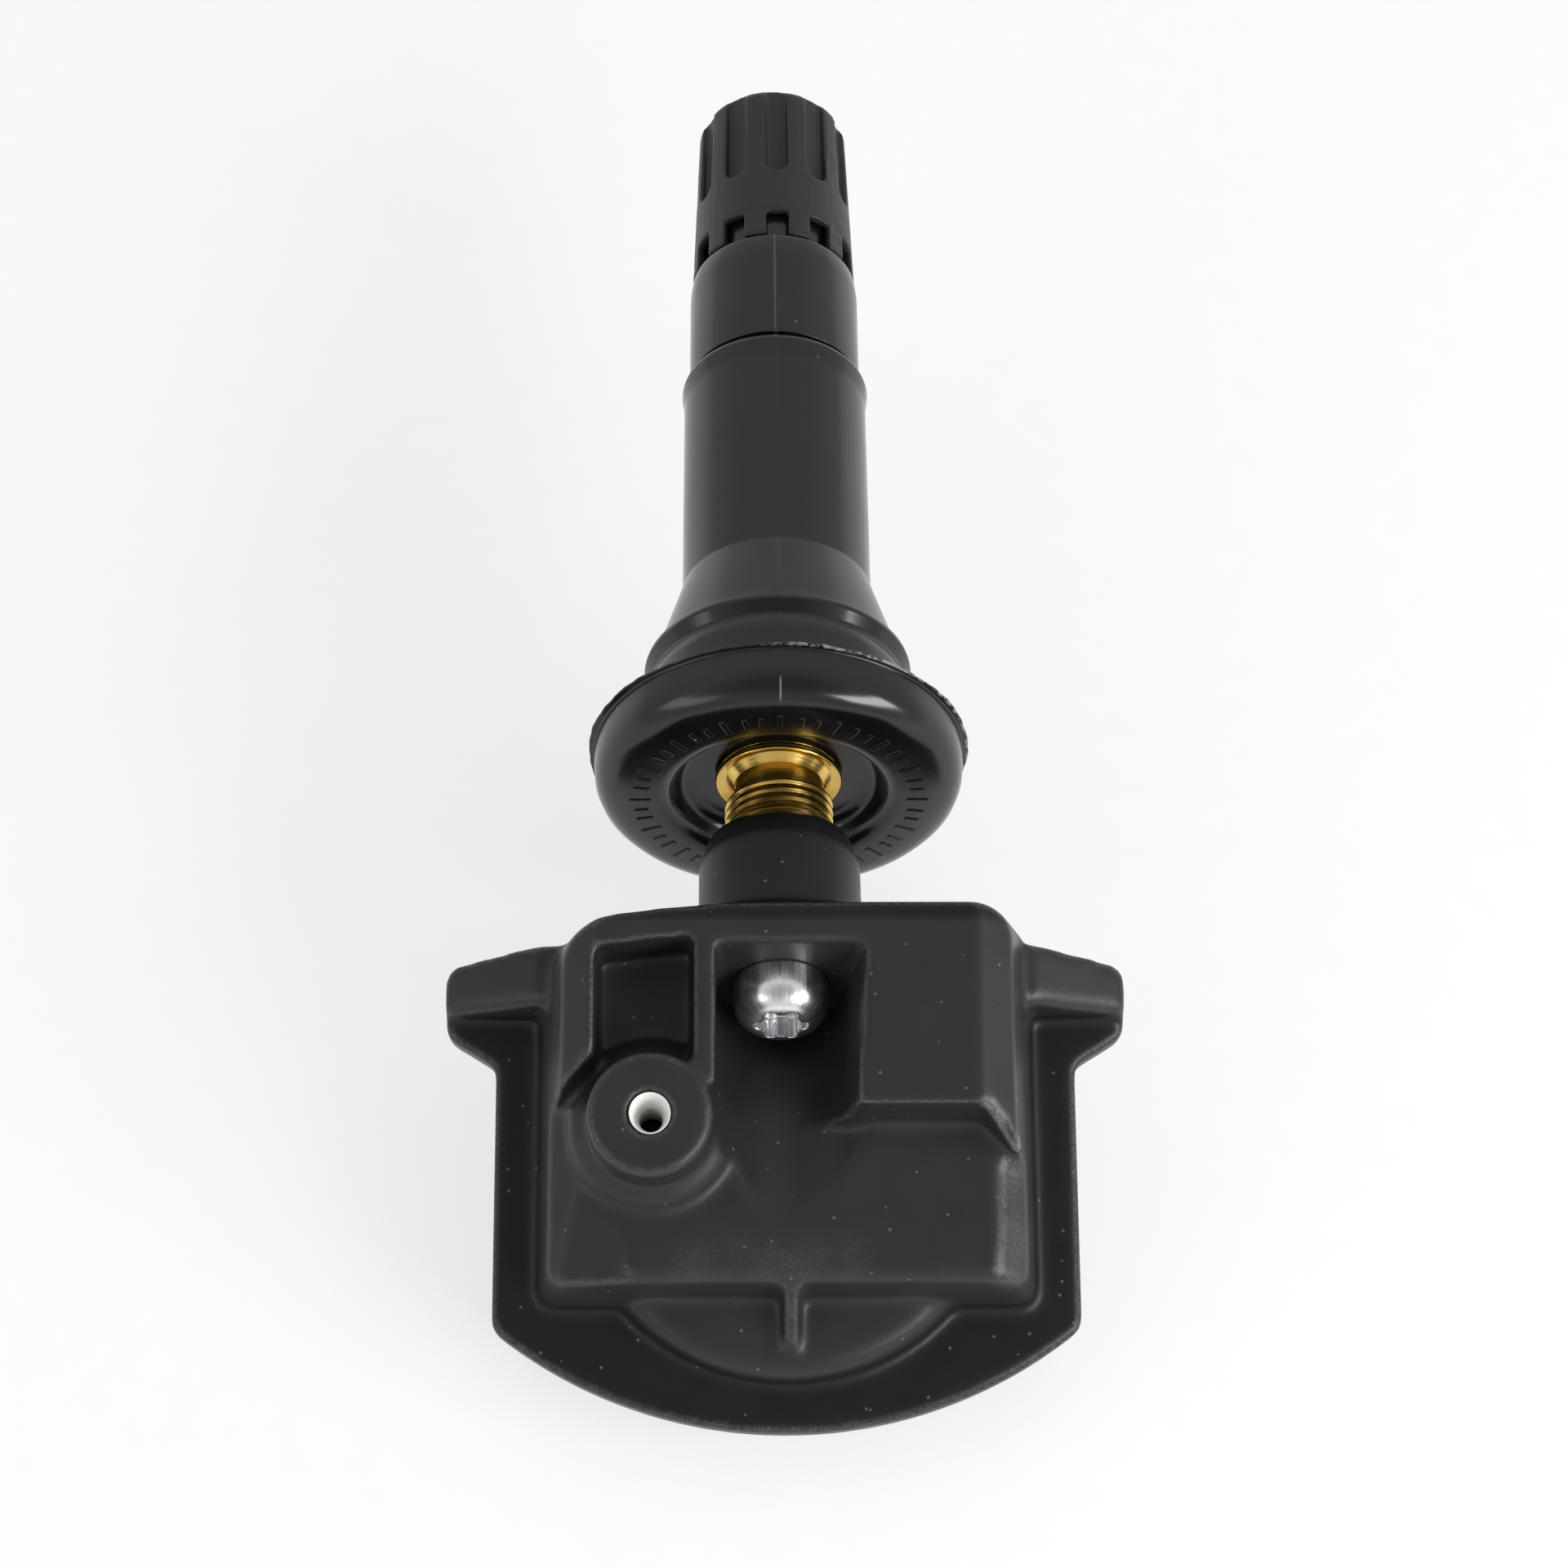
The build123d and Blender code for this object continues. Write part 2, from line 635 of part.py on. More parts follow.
def pocket_outline():
    """Plan of the sunk pocket: left of the rib, and in front of it round the boss."""
    rear_reach = REAR_REACH - TOP_LEVEL * rear_draft - TOP_WALL
    front = -PLATEAU_REACH - WALL
    rib_front = BOSS_V + BOSS_RADIUS / 2
    return make_face([
        left_rear_arc(-RIB_LEFT, PLATEAU_HALF_WIDTH, rear_reach),
        Polyline(
            (-PLATEAU_HALF_WIDTH, rear_v(PLATEAU_HALF_WIDTH, rear_reach)),
            (-PLATEAU_HALF_WIDTH, front),
            (0, front),
            (0, rib_front),
            (RIB_LEFT, rib_front),
            (RIB_LEFT, rear_v(RIB_LEFT, rear_reach)),
        ),
    ])


def block():
    """Drafted block with a high rear half, a low front half and a sunk pocket on the left."""
    body = loft([block_outline(0), block_outline(TOP_LEVEL)], ruled=True)
    upright_edges = body.edges().filter_by(lambda edge: abs(edge.tangent_at(0.5).Z) > 0.9)
    front_edges = upright_edges.sort_by(Axis.Y)[:2]
    left_rear = upright_edges.sort_by_distance((-BLOCK_HALF_WIDTH, REAR_REACH, TOP_LEVEL / 2))[0]
    right_rear = upright_edges.sort_by_distance((BLOCK_HALF_WIDTH, REAR_REACH, TOP_LEVEL / 2))[0]
    body = fillet(front_edges, BLOCK_FRONT_ROUND)
    body = fillet(body.edges().sort_by_distance(left_rear.center())[0], BLOCK_LEFT_ROUND)
    body = fillet(body.edges().sort_by_distance(right_rear.center())[0], BLOCK_RIGHT_ROUND)
    side_run = ABOVE - PLATEAU_HALF_WIDTH
    front_half = make_face(Polyline(
        (-PLATEAU_HALF_WIDTH, -LEFT_STRIP_REACH),
        (RIB_LEFT, -PLATEAU_REACH),
        (PLATEAU_HALF_WIDTH, -PLATEAU_REACH),
        (ABOVE, -PLATEAU_REACH - side_run),
        (ABOVE, -2 * ABOVE),
        (-ABOVE, -2 * ABOVE),
        (-ABOVE, -LEFT_STRIP_REACH - side_run),
        close=True,
    ))
    low_start = LOW_HALF_WIDTH - PLATEAU_HALF_WIDTH + WALL
    for side, reach in ((-1, LEFT_STRIP_REACH), (1, PLATEAU_REACH)):
        body -= chamfer_wedge(side, PLATEAU_HALF_WIDTH, TOP_LEVEL, ABOVE)
        body -= chamfer_wedge(side, LOW_HALF_WIDTH, LOW_LEVEL, -reach - low_start)
    body -= extrude(Pos(0, 0, LOW_LEVEL) * front_half, TOP_LEVEL, taper=-STEP_DRAFT)
    body -= extrude(Pos(0, 0, LOW_LEVEL) * pocket_outline(), TOP_LEVEL)
    return body - front_rounding()


def port_boss():
    """Round boss for the pressure port, with a hollow root fillet."""
    profile = make_face([
        Polyline(
            (BOSS_RADIUS + BOSS_ROOT_ROUND, LOW_LEVEL),
            (BOSS_RADIUS + BOSS_ROOT_ROUND, 0),
            (0, 0),
            (0, BOSS_LEVEL),
            (BOSS_RADIUS - BOSS_EDGE_ROUND, BOSS_LEVEL),
            (BOSS_RADIUS, BOSS_LEVEL - BOSS_EDGE_ROUND),
            (BOSS_RADIUS, LOW_LEVEL + BOSS_ROOT_ROUND),
        ),
        RadiusArc(
            (BOSS_RADIUS, LOW_LEVEL + BOSS_ROOT_ROUND),
            (BOSS_RADIUS + BOSS_ROOT_ROUND, LOW_LEVEL),
            BOSS_ROOT_ROUND,
        ),
    ])
    return Pos(BOSS_X, BOSS_V, 0) * revolve(Plane.XZ * profile, Axis.Z)


def battery_bulge():
    """Low round bulge over the coin cell, with a rib that climbs the front wall of the block."""
    disc = upright(BULGE_RADIUS, 0, BULGE_V, 0, BULGE_LEVEL)
    disc = fillet(disc.edges().sort_by(Axis.Z)[-1], BULGE_ROUND)
    wall_v = -BLOCK_REACH + BULGE_RIB_HIGH * side_draft
    rib = make_face(Polyline(
        (BULGE_V, 0),
        (BULGE_V, BULGE_RIB_HIGH),
        (wall_v, BULGE_RIB_HIGH),
        (-BULGE_RIB_REACH, BULGE_RIB_LOW),
        (-BULGE_RIB_REACH, 0),
        close=True,
    ))
    return disc + Pos(BULGE_RIB_X, 0, 0) * extrude(Plane.YZ * rib, BULGE_RIB_WIDTH / 2, both=True)


def corner_facet():
    """Sloped cut over the front left corner of the low surface."""
    cut = Box(2 * ABOVE, ABOVE, ABOVE, align=(Align.CENTER, Align.MAX, Align.MIN))
    hinge = Pos(-LOW_HALF_WIDTH, -CORNER_FACET_REACH, LOW_LEVEL)
    cut = hinge * Rot(0, 0, -CORNER_FACET_TURN) * Rot(CORNER_FACET_TILT, 0, 0) * cut
    return cut & block_between((-2 * ABOVE, -CORNER_FACET_EDGE), (-2 * ABOVE, 0), (0, 2 * ABOVE))


def trough_section(offset):
    """Section across the valve axis of the screw trough: round floor, open top and a sloped right flank."""
    radius = TROUGH_RADIUS + offset
    spread = ABOVE * math.tan(math.radians(TROUGH_FLANK))
    corners = [(-radius, 0), (radius, 0), (radius + spread, ABOVE), (-radius, ABOVE)]
    return Circle(radius) + make_face(Polyline(*corners, close=True))


def splay_section(offset):
    """Section of the wider right side of the trough where it runs out on the low surface."""
    foot_depth = math.sqrt((TROUGH_RADIUS + offset) ** 2 - SPLAY_FOOT_X ** 2)
    corner_x, corner_z = SPLAY_CORNER
    edge_x, edge_z = SPLAY_EDGE
    return make_face(Polyline(
        (0, 0),
        (SPLAY_FOOT_X, -foot_depth),
        (corner_x + offset, corner_z - offset),
        (edge_x + offset, edge_z - offset),
        (edge_x + offset, ABOVE),
        (0, ABOVE),
        close=True,
    ))


def trough(offset):
    """Way of the screw and its driver through the block, grown by an offset."""
    start = screw_seat + offset
    low_half = block_between((-ABOVE, ABOVE), (-2 * ABOVE, offset - PLATEAU_REACH), (-ABOVE, 2 * ABOVE))
    splay = along_valve(splay_section(offset), start, start - 2 * ABOVE) & MODULE * low_half
    return along_valve(trough_section(offset), start, start - 2 * ABOVE) + splay


def board_outline():
    """Plan of the board: it fills the bay and is notched round the screw trough."""
    half_width = BLOCK_HALF_WIDTH - board_top * side_draft - WALL - BOARD_GAP
    rear = -CAVITY_REAR - (board_top + PLATE_THICKNESS) * side_draft - BOARD_GAP
    front = -BLOCK_REACH + board_top * side_draft + WALL + BOARD_GAP
    return half_width, rear, front


def board_front():
    """Place of the board's front edge."""
    return board_outline()[2]


def stake_spots():
    """Places of the four stakes that carry the board."""
    half_width, rear, front = board_outline()
    return [(x, v) for x in (-half_width + STAKE_INSET, half_width - STAKE_INSET)
            for v in (rear - STAKE_INSET, front + STAKE_INSET)]


def bay_outline(level):
    """Plan of the electronics bay at a level, parallel to the drafted block."""
    half_width = BLOCK_HALF_WIDTH - level * side_draft - WALL
    rear = -CAVITY_REAR - (level + PLATE_THICKNESS) * side_draft
    front = -BLOCK_REACH + level * side_draft + WALL
    corners = [(-half_width, rear), (-half_width, front), (half_width, front), (half_width, rear)]
    return Pos(0, 0, level) * make_face(Polyline(*corners, close=True))


def cavity():
    """Inside of the housing: bay, spaces under plateau and boss, cell pocket and tab slots."""
    bay = loft([bay_outline(-PLATE_THICKNESS), bay_outline(low_ceiling)], ruled=True)
    plateau_space = block_between(
        (TROUGH_RADIUS + 2 * WALL, PLATEAU_HALF_WIDTH + WALL / 2),
        (WALL - PLATEAU_REACH, -CAVITY_REAR - WALL),
        (board_top, TOP_LEVEL - WALL),
    )
    sensor_space = upright(BUSH_FOOT_RADIUS + CELL_GAP, BOSS_X, BOSS_V, board_top, BOSS_LEVEL - WALL)
    pocket = upright(CELL_RADIUS + CELL_GAP, 0, BULGE_V, -PLATE_THICKNESS, BULGE_LEVEL - WALL / 2)
    leg_top = board_top + TAB_ABOVE_BOARD + CELL_GAP
    leg_levels = block_between((-ABOVE, ABOVE), (-2 * ABOVE, 0), (-PLATE_THICKNESS, leg_top))
    legs = [slot & leg_levels for slot in tab_slots(TAB_LEG_GAP)]
    space = bay + plateau_space + sensor_space + pocket + legs
    for x, v in stake_spots():
        space -= upright(STAKE_SHOULDER, x, v, board_top, ABOVE)
        space -= upright(STAKE_RADIUS, x, v, board_base - STAKE_BELOW_BOARD, ABOVE)
    screw_wall = along_valve(Circle(SCREW_RADIUS + SCREW_WALL), tail_end, screw_seat)
    return MODULE * space - trough(TROUGH_WALL) - screw_wall


def sensor_housing():
    foot = rounded(offset(block_outline(0), -FOOT_SETBACK), [
        ((-BLOCK_HALF_WIDTH, REAR_REACH), BLOCK_LEFT_ROUND),
        ((BLOCK_HALF_WIDTH, REAR_REACH), BLOCK_RIGHT_ROUND),
    ])
    outline = plate_outline(PLATE_HALF_WIDTH, PLATE_REACH, PLATE_ARC_RADIUS, plate_rear, PLATE_CORNER_ROUND)
    plate = extrude(outline + ear_outline() + foot, -PLATE_THICKNESS)
    body = block() + port_boss() - corner_facet()
    body = MODULE * (plate + ear_lips() + battery_bulge() + body)
    collar = along_valve(Circle(COLLAR_RADIUS), collar_end, tail_end - MODULE_SETBACK)
    collar = fillet(collar.edges().sort_by(Axis.Y)[-1], COLLAR_ROUND)
    body += collar
    body -= trough(0)
    body -= along_valve(Circle(TAIL_RADIUS + COLLAR_GAP), collar_end, tail_end)
    body -= along_valve(Circle(SCREW_RADIUS + SCREW_HOLE_GAP), tail_end, screw_seat)
    body -= cavity()
    return body - MODULE * upright(PORT_RADIUS, BOSS_X, BOSS_V, board_top, BOSS_LEVEL)


def back_cover():
    inset = COVER_INSET
    outline = plate_outline(
        PLATE_HALF_WIDTH - inset,
        PLATE_REACH - inset,
        PLATE_ARC_RADIUS - inset,
        plate_rear - inset,
        PLATE_CORNER_ROUND,
    )
    cover = extrude(Pos(0, 0, cover_base) * outline, COVER_HEIGHT)
    cover -= upright(CELL_RADIUS + CELL_GAP, 0, BULGE_V, cover_floor, cover_top)
    bay = extrude(bay_outline(-PLATE_THICKNESS), cover_floor - cover_top)
    cover -= bay
    return MODULE * (cover + upright(CELL_RADIUS, 0, BULGE_V, cover_base - COVER_PAD, cover_base))


def port_seal():
    foot_base = board_top + SENSOR_CHIP_HEIGHT
    foot_top = foot_base + BUSH_FOOT_HEIGHT
    outer = PORT_RADIUS - BUSH_GAP
    profile = Plane.XZ * make_face(Polyline(
        (FUNNEL_THROAT, foot_base),
        (BUSH_FOOT_RADIUS, foot_base),
        (BUSH_FOOT_RADIUS, foot_top),
        (outer, foot_top),
        (outer, BOSS_LEVEL),
        (min(FUNNEL_RADIUS, outer), BOSS_LEVEL),
        (FUNNEL_THROAT, BOSS_LEVEL - FUNNEL_DEPTH),
        close=True,
    ))
    return MODULE * Pos(BOSS_X, BOSS_V, 0) * revolve(profile, Axis.Z)


def tab_slots(gap):
    """Slots in the board for the legs of both battery tabs."""
    leg_x = CELL_RADIUS + TAB_LEG_GAP + TAB_THICKNESS / 2
    slot = Box(TAB_THICKNESS + 2 * gap, TAB_WIDTH + 2 * gap, ABOVE)
    return [Pos(side * leg_x, TAB_V, 0) * slot for side in (-1, 1)]


def circuit_board():
    half_width, rear, front = board_outline()
    board = block_between((-half_width, half_width), (front, rear), (board_base, board_top))
    board -= block_between(
        (-BOARD_NOTCH_HALF_WIDTH, BOARD_NOTCH_HALF_WIDTH), (-BOARD_NOTCH_REACH, ABOVE), (-ABOVE, ABOVE))
    for x, v in stake_spots():
        board -= upright(STAKE_RADIUS + STAKE_GAP, x, v, board_base, board_top)
    return MODULE * (board - tab_slots(STAKE_GAP))


def on_board(size, x, v, height):
    """Boxed part standing on the board."""
    return Pos(x, v, board_top) * Box(size[0], size[1], height, align=(Align.CENTER, Align.CENTER, Align.MIN))


def pressure_sensor_chip():
    chip = on_board((SENSOR_CHIP_SIZE, SENSOR_CHIP_SIZE), BOSS_X, BOSS_V, SENSOR_CHIP_HEIGHT)
    top = board_top + SENSOR_CHIP_HEIGHT
    return MODULE * (chip - upright(FUNNEL_THROAT, BOSS_X, BOSS_V, top - SENSOR_CHIP_HEIGHT / 2, top))


def transmitter_chip():
    size = (RADIO_CHIP_SIZE, RADIO_CHIP_SIZE)
    return MODULE * on_board(size, RADIO_CHIP_X, board_front() + RADIO_CHIP_INSET, RADIO_CHIP_HEIGHT)


def crystal():
    can = on_board((CRYSTAL_LENGTH, CRYSTAL_WIDTH), CRYSTAL_X, board_front() + CRYSTAL_INSET, CRYSTAL_HEIGHT)
    return MODULE * fillet(can.edges().filter_by(Axis.Z), CRYSTAL_HEIGHT / 2)


def coil_spot():
    """Place of the coil: beside the board's notch, at its rear edge."""
    rear = board_outline()[1]
    return BOARD_NOTCH_HALF_WIDTH + BOARD_GAP + COIL_WIDTH / 2, rear - BOARD_GAP - COIL_LENGTH / 2


def coil_neck_box(margin):
    """Middle of the coil core between its end flanges, grown by a margin."""
    size = (COIL_WIDTH - 2 * COIL_NECK + 2 * margin, COIL_LENGTH - 2 * COIL_FLANGE)
    height = COIL_HEIGHT - 2 * COIL_NECK + 2 * margin
    return Pos(*coil_spot(), board_top + COIL_HEIGHT / 2) * Box(size[0], size[1], height)


def lf_coil_core():
    core = on_board((COIL_WIDTH, COIL_LENGTH), *coil_spot(), COIL_HEIGHT)
    return MODULE * (core - coil_neck_box(COIL_WIDTH) + coil_neck_box(0))


def lf_coil_winding():
    winding = coil_neck_box(WINDING_DEPTH)
    winding = fillet(winding.edges().filter_by(Axis.Y), WINDING_DEPTH / 2)
    return MODULE * (winding - coil_neck_box(0))


def antenna_wire():
    half = ANTENNA_SPAN / 2
    rise = board_top + ANTENNA_RISE
    v = board_front() + ANTENNA_INSET
    path = FilletPolyline(
        (-half, v, board_top),
        (-half, v, rise),
        (half, v, rise),
        (half, v, board_top),
        radius=ANTENNA_BEND,
    )
    return MODULE * sweep(Plane(path @ 0, z_dir=path % 0) * Circle(ANTENNA_WIRE_RADIUS), path)


def coin_cell():
    middle = cell_base + CELL_CAP_STEP
    profile = make_face(Polyline(
        (0, cell_base),
        (CELL_CAP_RADIUS, cell_base),
        (CELL_CAP_RADIUS, middle),
        (CELL_RADIUS - CELL_EDGE_BEVEL, middle),
        (CELL_RADIUS, middle + CELL_EDGE_BEVEL),
        (CELL_RADIUS, cell_top - CELL_EDGE_BEVEL),
        (CELL_RADIUS - CELL_EDGE_BEVEL, cell_top),
        (0, cell_top),
        close=True,
    ))
    return MODULE * Pos(0, BULGE_V, 0) * revolve(Plane.XZ * profile, Axis.Z)


def battery_tab(side, low, high):
    """Strip welded to a face of the cell, with a leg up through the board."""
    leg_in = CELL_RADIUS + TAB_LEG_GAP
    leg_out = leg_in + TAB_THICKNESS
    v_range = (TAB_V - TAB_WIDTH / 2, TAB_V + TAB_WIDTH / 2)
    strip = block_between((leg_out - TAB_REACH, leg_out), v_range, (low, high))
    leg = block_between((leg_in, leg_out), v_range, (low, board_top + TAB_ABOVE_BOARD))
    tab = strip + leg
    if side < 0:
        tab = mirror(tab, Plane.YZ)
    return MODULE * tab


def battery_tab_positive():
    return battery_tab(-1, cell_top, cell_top + TAB_THICKNESS)


def battery_tab_negative():
    return battery_tab(1, cover_floor, cell_base)


def chip_group(size, spots):
    """Small boxed parts of one kind at their spots, counted from the middle of the board's front edge."""
    front = board_front()
    return MODULE * Compound([on_board(size[:2], x, front + inset, size[2]).solid() for x, inset in spots])


def chip_capacitors():
    return chip_group(CAPACITOR_SIZE, CAPACITOR_SPOTS)


def chip_resistors():
    return chip_group(RESISTOR_SIZE, RESISTOR_SPOTS)


PIECES = [
    valve_cap, cap_seal, rubber_stem, brass_stem,
    core_plug, core_barrel_seal, core_pin, core_spring, core_cup, core_cup_seal,
    clamp_screw, sensor_housing, back_cover, port_seal,
    circuit_board, pressure_sensor_chip, transmitter_chip, crystal,
    lf_coil_core, lf_coil_winding, antenna_wire,
    coin_cell, battery_tab_positive, battery_tab_negative,
    chip_capacitors, chip_resistors,
]

os.makedirs("parts", exist_ok=True)
for make_piece in PIECES:
    export_step(make_piece(), f"parts/{make_piece.__name__}.step")
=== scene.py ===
# %% [markdown]
# # A snap-in tyre pressure sensor
# The sensor is a rubber valve with a plastic dust cap, and a dark moulded module that one screw holds
# on the valve's brass tail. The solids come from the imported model, in metres, with the valve along Y.
# This lesson dresses them: it turns the rubber anew with its seam and flash, softens the moulded
# edges, winds the threads, and gives every piece a material built from nodes.

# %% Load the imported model
import bpy
import json
import math
from mathutils import Matrix, Vector


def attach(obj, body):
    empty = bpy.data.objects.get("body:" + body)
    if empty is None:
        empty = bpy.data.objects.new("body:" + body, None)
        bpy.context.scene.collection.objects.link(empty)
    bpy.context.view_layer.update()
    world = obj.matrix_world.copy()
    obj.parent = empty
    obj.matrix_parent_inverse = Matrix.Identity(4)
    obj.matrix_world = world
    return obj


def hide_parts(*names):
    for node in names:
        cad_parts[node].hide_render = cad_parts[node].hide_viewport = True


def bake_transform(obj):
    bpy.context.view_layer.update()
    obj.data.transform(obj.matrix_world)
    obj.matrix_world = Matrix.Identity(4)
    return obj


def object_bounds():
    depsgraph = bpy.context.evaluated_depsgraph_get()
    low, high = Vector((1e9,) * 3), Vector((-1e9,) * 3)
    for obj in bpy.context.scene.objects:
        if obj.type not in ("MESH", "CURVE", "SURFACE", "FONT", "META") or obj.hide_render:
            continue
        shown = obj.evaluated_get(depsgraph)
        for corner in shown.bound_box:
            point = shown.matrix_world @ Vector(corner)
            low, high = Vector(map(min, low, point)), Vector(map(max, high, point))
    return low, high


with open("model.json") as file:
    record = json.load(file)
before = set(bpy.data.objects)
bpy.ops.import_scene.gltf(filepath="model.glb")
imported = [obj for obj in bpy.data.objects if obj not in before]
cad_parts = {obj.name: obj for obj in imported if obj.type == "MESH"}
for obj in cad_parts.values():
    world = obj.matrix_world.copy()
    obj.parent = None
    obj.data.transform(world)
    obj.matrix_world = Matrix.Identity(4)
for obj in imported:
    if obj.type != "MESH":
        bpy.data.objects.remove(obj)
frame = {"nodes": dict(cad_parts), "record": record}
nodes = frame["nodes"]
cad_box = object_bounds()
MM = 0.001

# %% [markdown]
# ## The camera
# The photograph looks down on the port side of the module, from in front of it. A camera like that is
# placed by four plain numbers: how far it is turned round the object, how high it stands, how much it
# leans, and how far away it is. It turns about the spot in the middle of the picture.

# %% Camera
CAMERA_AIM = Vector((0.3, -4.2, -1.0)) * MM
CAMERA_DISTANCE = 175.7 * MM
CAMERA_AZIMUTH = math.radians(-1.51)
CAMERA_ELEVATION = math.radians(56.5)
CAMERA_ROLL = math.radians(1.16)
LENS_MM = 75.84
SENSOR_MM = 36

scene = bpy.context.scene
camera = bpy.data.objects.new("camera", bpy.data.cameras.new("camera"))
scene.collection.objects.link(camera)
scene.camera = camera
camera.data.lens = LENS_MM
camera.data.sensor_width = SENSOR_MM
camera.data.sensor_fit = "HORIZONTAL"
camera.data.clip_start = 10 * MM
turn = Matrix.Rotation(CAMERA_AZIMUTH, 4, "Z")
nod = Matrix.Rotation(math.pi / 2 - CAMERA_ELEVATION, 4, "X")
lean = Matrix.Rotation(CAMERA_ROLL, 4, "Z")
pull_back = Matrix.Translation((0, 0, CAMERA_DISTANCE))
camera.matrix_world = Matrix.Translation(CAMERA_AIM) @ turn @ nod @ lean @ pull_back
print("camera at", [round(c / MM, 1) for c in camera.matrix_world.translation], "mm")

# %% [markdown]
# ## Colours and nodes
# Colours are written as sRGB hex, as a colour picker shows them, and one function makes them linear.
# A second small function adds a shader node: each of its inputs takes a plain value, or another node
# to link from. That keeps a material readable as a list of steps.

# %% Colour and node helpers
def linear(hex_colour):
    channels = [int(hex_colour[i:i + 2], 16) / 255 for i in (1, 3, 5)]
    return [c / 12.92 if c <= 0.04045 else ((c + 0.055) / 1.055) ** 2.4 for c in channels] + [1.0]


def feed(tree, node, **inputs):
    """Give a node's inputs their values, or links from other nodes."""
    for name, source in inputs.items():
        names = [(s.identifier, s.name.replace(" ", "_")) for s in node.inputs]
        socket = next(s for s, both in zip(node.inputs, names) if s.enabled and name in both)
        if isinstance(source, bpy.types.Node):
            source = next(s for s in source.outputs if s.enabled)
        if isinstance(source, bpy.types.NodeSocket):
            tree.links.new(source, socket)
        else:
            socket.default_value = source


def add_node(tree, kind, options=None, **inputs):
    node = tree.nodes.new("ShaderNode" + kind)
    for name, option in (options or {}).items():
        setattr(node, name, option)
    feed(tree, node, **inputs)
    return node


def new_material(name):
    material = bpy.data.materials.new(name)
    material.use_nodes = True
    tree = material.node_tree
    coords = add_node(tree, "TexCoord").outputs["Object"]
    return material, tree, tree.nodes["Principled BSDF"], coords


COLOURS = {"data_type": "RGBA"}
# A noise stays mostly between these two values.
NOISE_RANGE = {"From_Min": 0.3, "From_Max": 0.7}
print("helpers ready")

# %% [markdown]
# ## Floor and light
# The object lies on plain white paper. Most of the floor's white is its own glow, so that it stays even
# while it still takes the object's shadow. The room is pale all round, because glossy black rubber and
# bright metal only look right when there is something for them to reflect. It is dim overhead, so that
# the faces that look up stay dark. One soft lamp stands low in front on the right, where it catches the
# rounded edges of flange, boss and bulge, and a weaker one stands on the left.

# %% Floor
FLOOR_GLOW = 0.65
FLOOR_HALF = 1.5
FLOOR_GAP = 0.05 * MM

paper, tree, shader, coords = new_material("white_paper")
fleck = add_node(tree, "TexNoise", Vector=coords, Scale=1 / (2 * MM))
tone = add_node(tree, "Mix", COLOURS, Factor=fleck, A=linear("#9d9d9b"), B=linear("#a2a2a0"))
feed(tree, shader, Base_Color=tone, Roughness=0.9, Specular_IOR_Level=0.2)
feed(tree, shader, Emission_Color=linear("#ffffff"), Emission_Strength=FLOOR_GLOW)

bpy.ops.object.select_all(action="DESELECT")
bpy.ops.mesh.primitive_plane_add(size=2 * FLOOR_HALF, location=(0, 0, cad_box[0][2] - FLOOR_GAP))
floor = bpy.context.object
floor.name = "floor"
floor.data.materials.append(paper)
print("floor at", round(floor.location.z / MM, 2), "mm")

# %% Lamps
def soft_lamp(name, place_mm, size_mm, power):
    lamp = bpy.data.lights.new(name, "AREA")
    lamp.shape = "RECTANGLE"
    lamp.size, lamp.size_y = size_mm[0] * MM, size_mm[1] * MM
    lamp.energy = power
    holder = bpy.data.objects.new(name, lamp)
    scene.collection.objects.link(holder)
    holder.location = Vector(place_mm) * MM
    holder.rotation_euler = (-holder.location).to_track_quat("-Z", "Y").to_euler()
    return holder


soft_lamp("lamp_right", place_mm=(265, -195, 160), size_mm=(290, 100), power=1.0)
soft_lamp("lamp_left", place_mm=(-275, -180, 160), size_mm=(290, 100), power=0.17)

# %% Pale room, dim overhead
ROOM_LIGHT = 0.7
OVERHEAD_LIGHT = 0.34
OVERHEAD = Vector((0, -0.42, 0.91))
DIM_FROM = 0.7
DIM_FULLY = 0.95

world = bpy.data.worlds.new("pale_room")
scene.world = world
world.use_nodes = True
tree = world.node_tree
way = add_node(tree, "TexCoord").outputs["Generated"]
near = add_node(tree, "VectorMath", {"operation": "DOT_PRODUCT"}, Vector=way, Vector_001=OVERHEAD)
glow = add_node(tree, "MapRange", Value=near, From_Min=DIM_FROM, From_Max=DIM_FULLY,
                To_Min=ROOM_LIGHT, To_Max=OVERHEAD_LIGHT)
feed(tree, tree.nodes["Background"], Color=linear("#ffffff"), Strength=glow)
scene.view_settings.view_transform = "Standard"
print("room", ROOM_LIGHT, "overhead", OVERHEAD_LIGHT)

# %% [markdown]
# ## A line to turn
# Rubber stem and brass lip are round, so each is drawn as half of its section and spun about the
# valve's axis. The line starts as a plane that is merged to one vertex, and the vertex is extruded from
# point to point. Its corners are cut by short curves, because rubber leaves a mould with soft edges.

# %% Turned pieces
MERGE_WITHIN = 0.002 * MM

def soft_line(corners, steps=5):
    """Points along (radius, station, rounding) corners in mm, with a short curve at each rounded corner."""
    spots = [Vector((radius, station, 0)) * MM for radius, station, rounding in corners]
    line = []
    for i, spot in enumerate(spots):
        cut = corners[i][2] * MM
        if cut == 0:
            line.append(spot)
            continue
        start = spot + (spots[i - 1] - spot).normalized() * cut
        end = spot + (spots[(i + 1) % len(spots)] - spot).normalized() * cut
        for step in range(steps + 1):
            t = step / steps
            line.append(start * (1 - t) ** 2 + spot * 2 * t * (1 - t) + end * t ** 2)
    return line


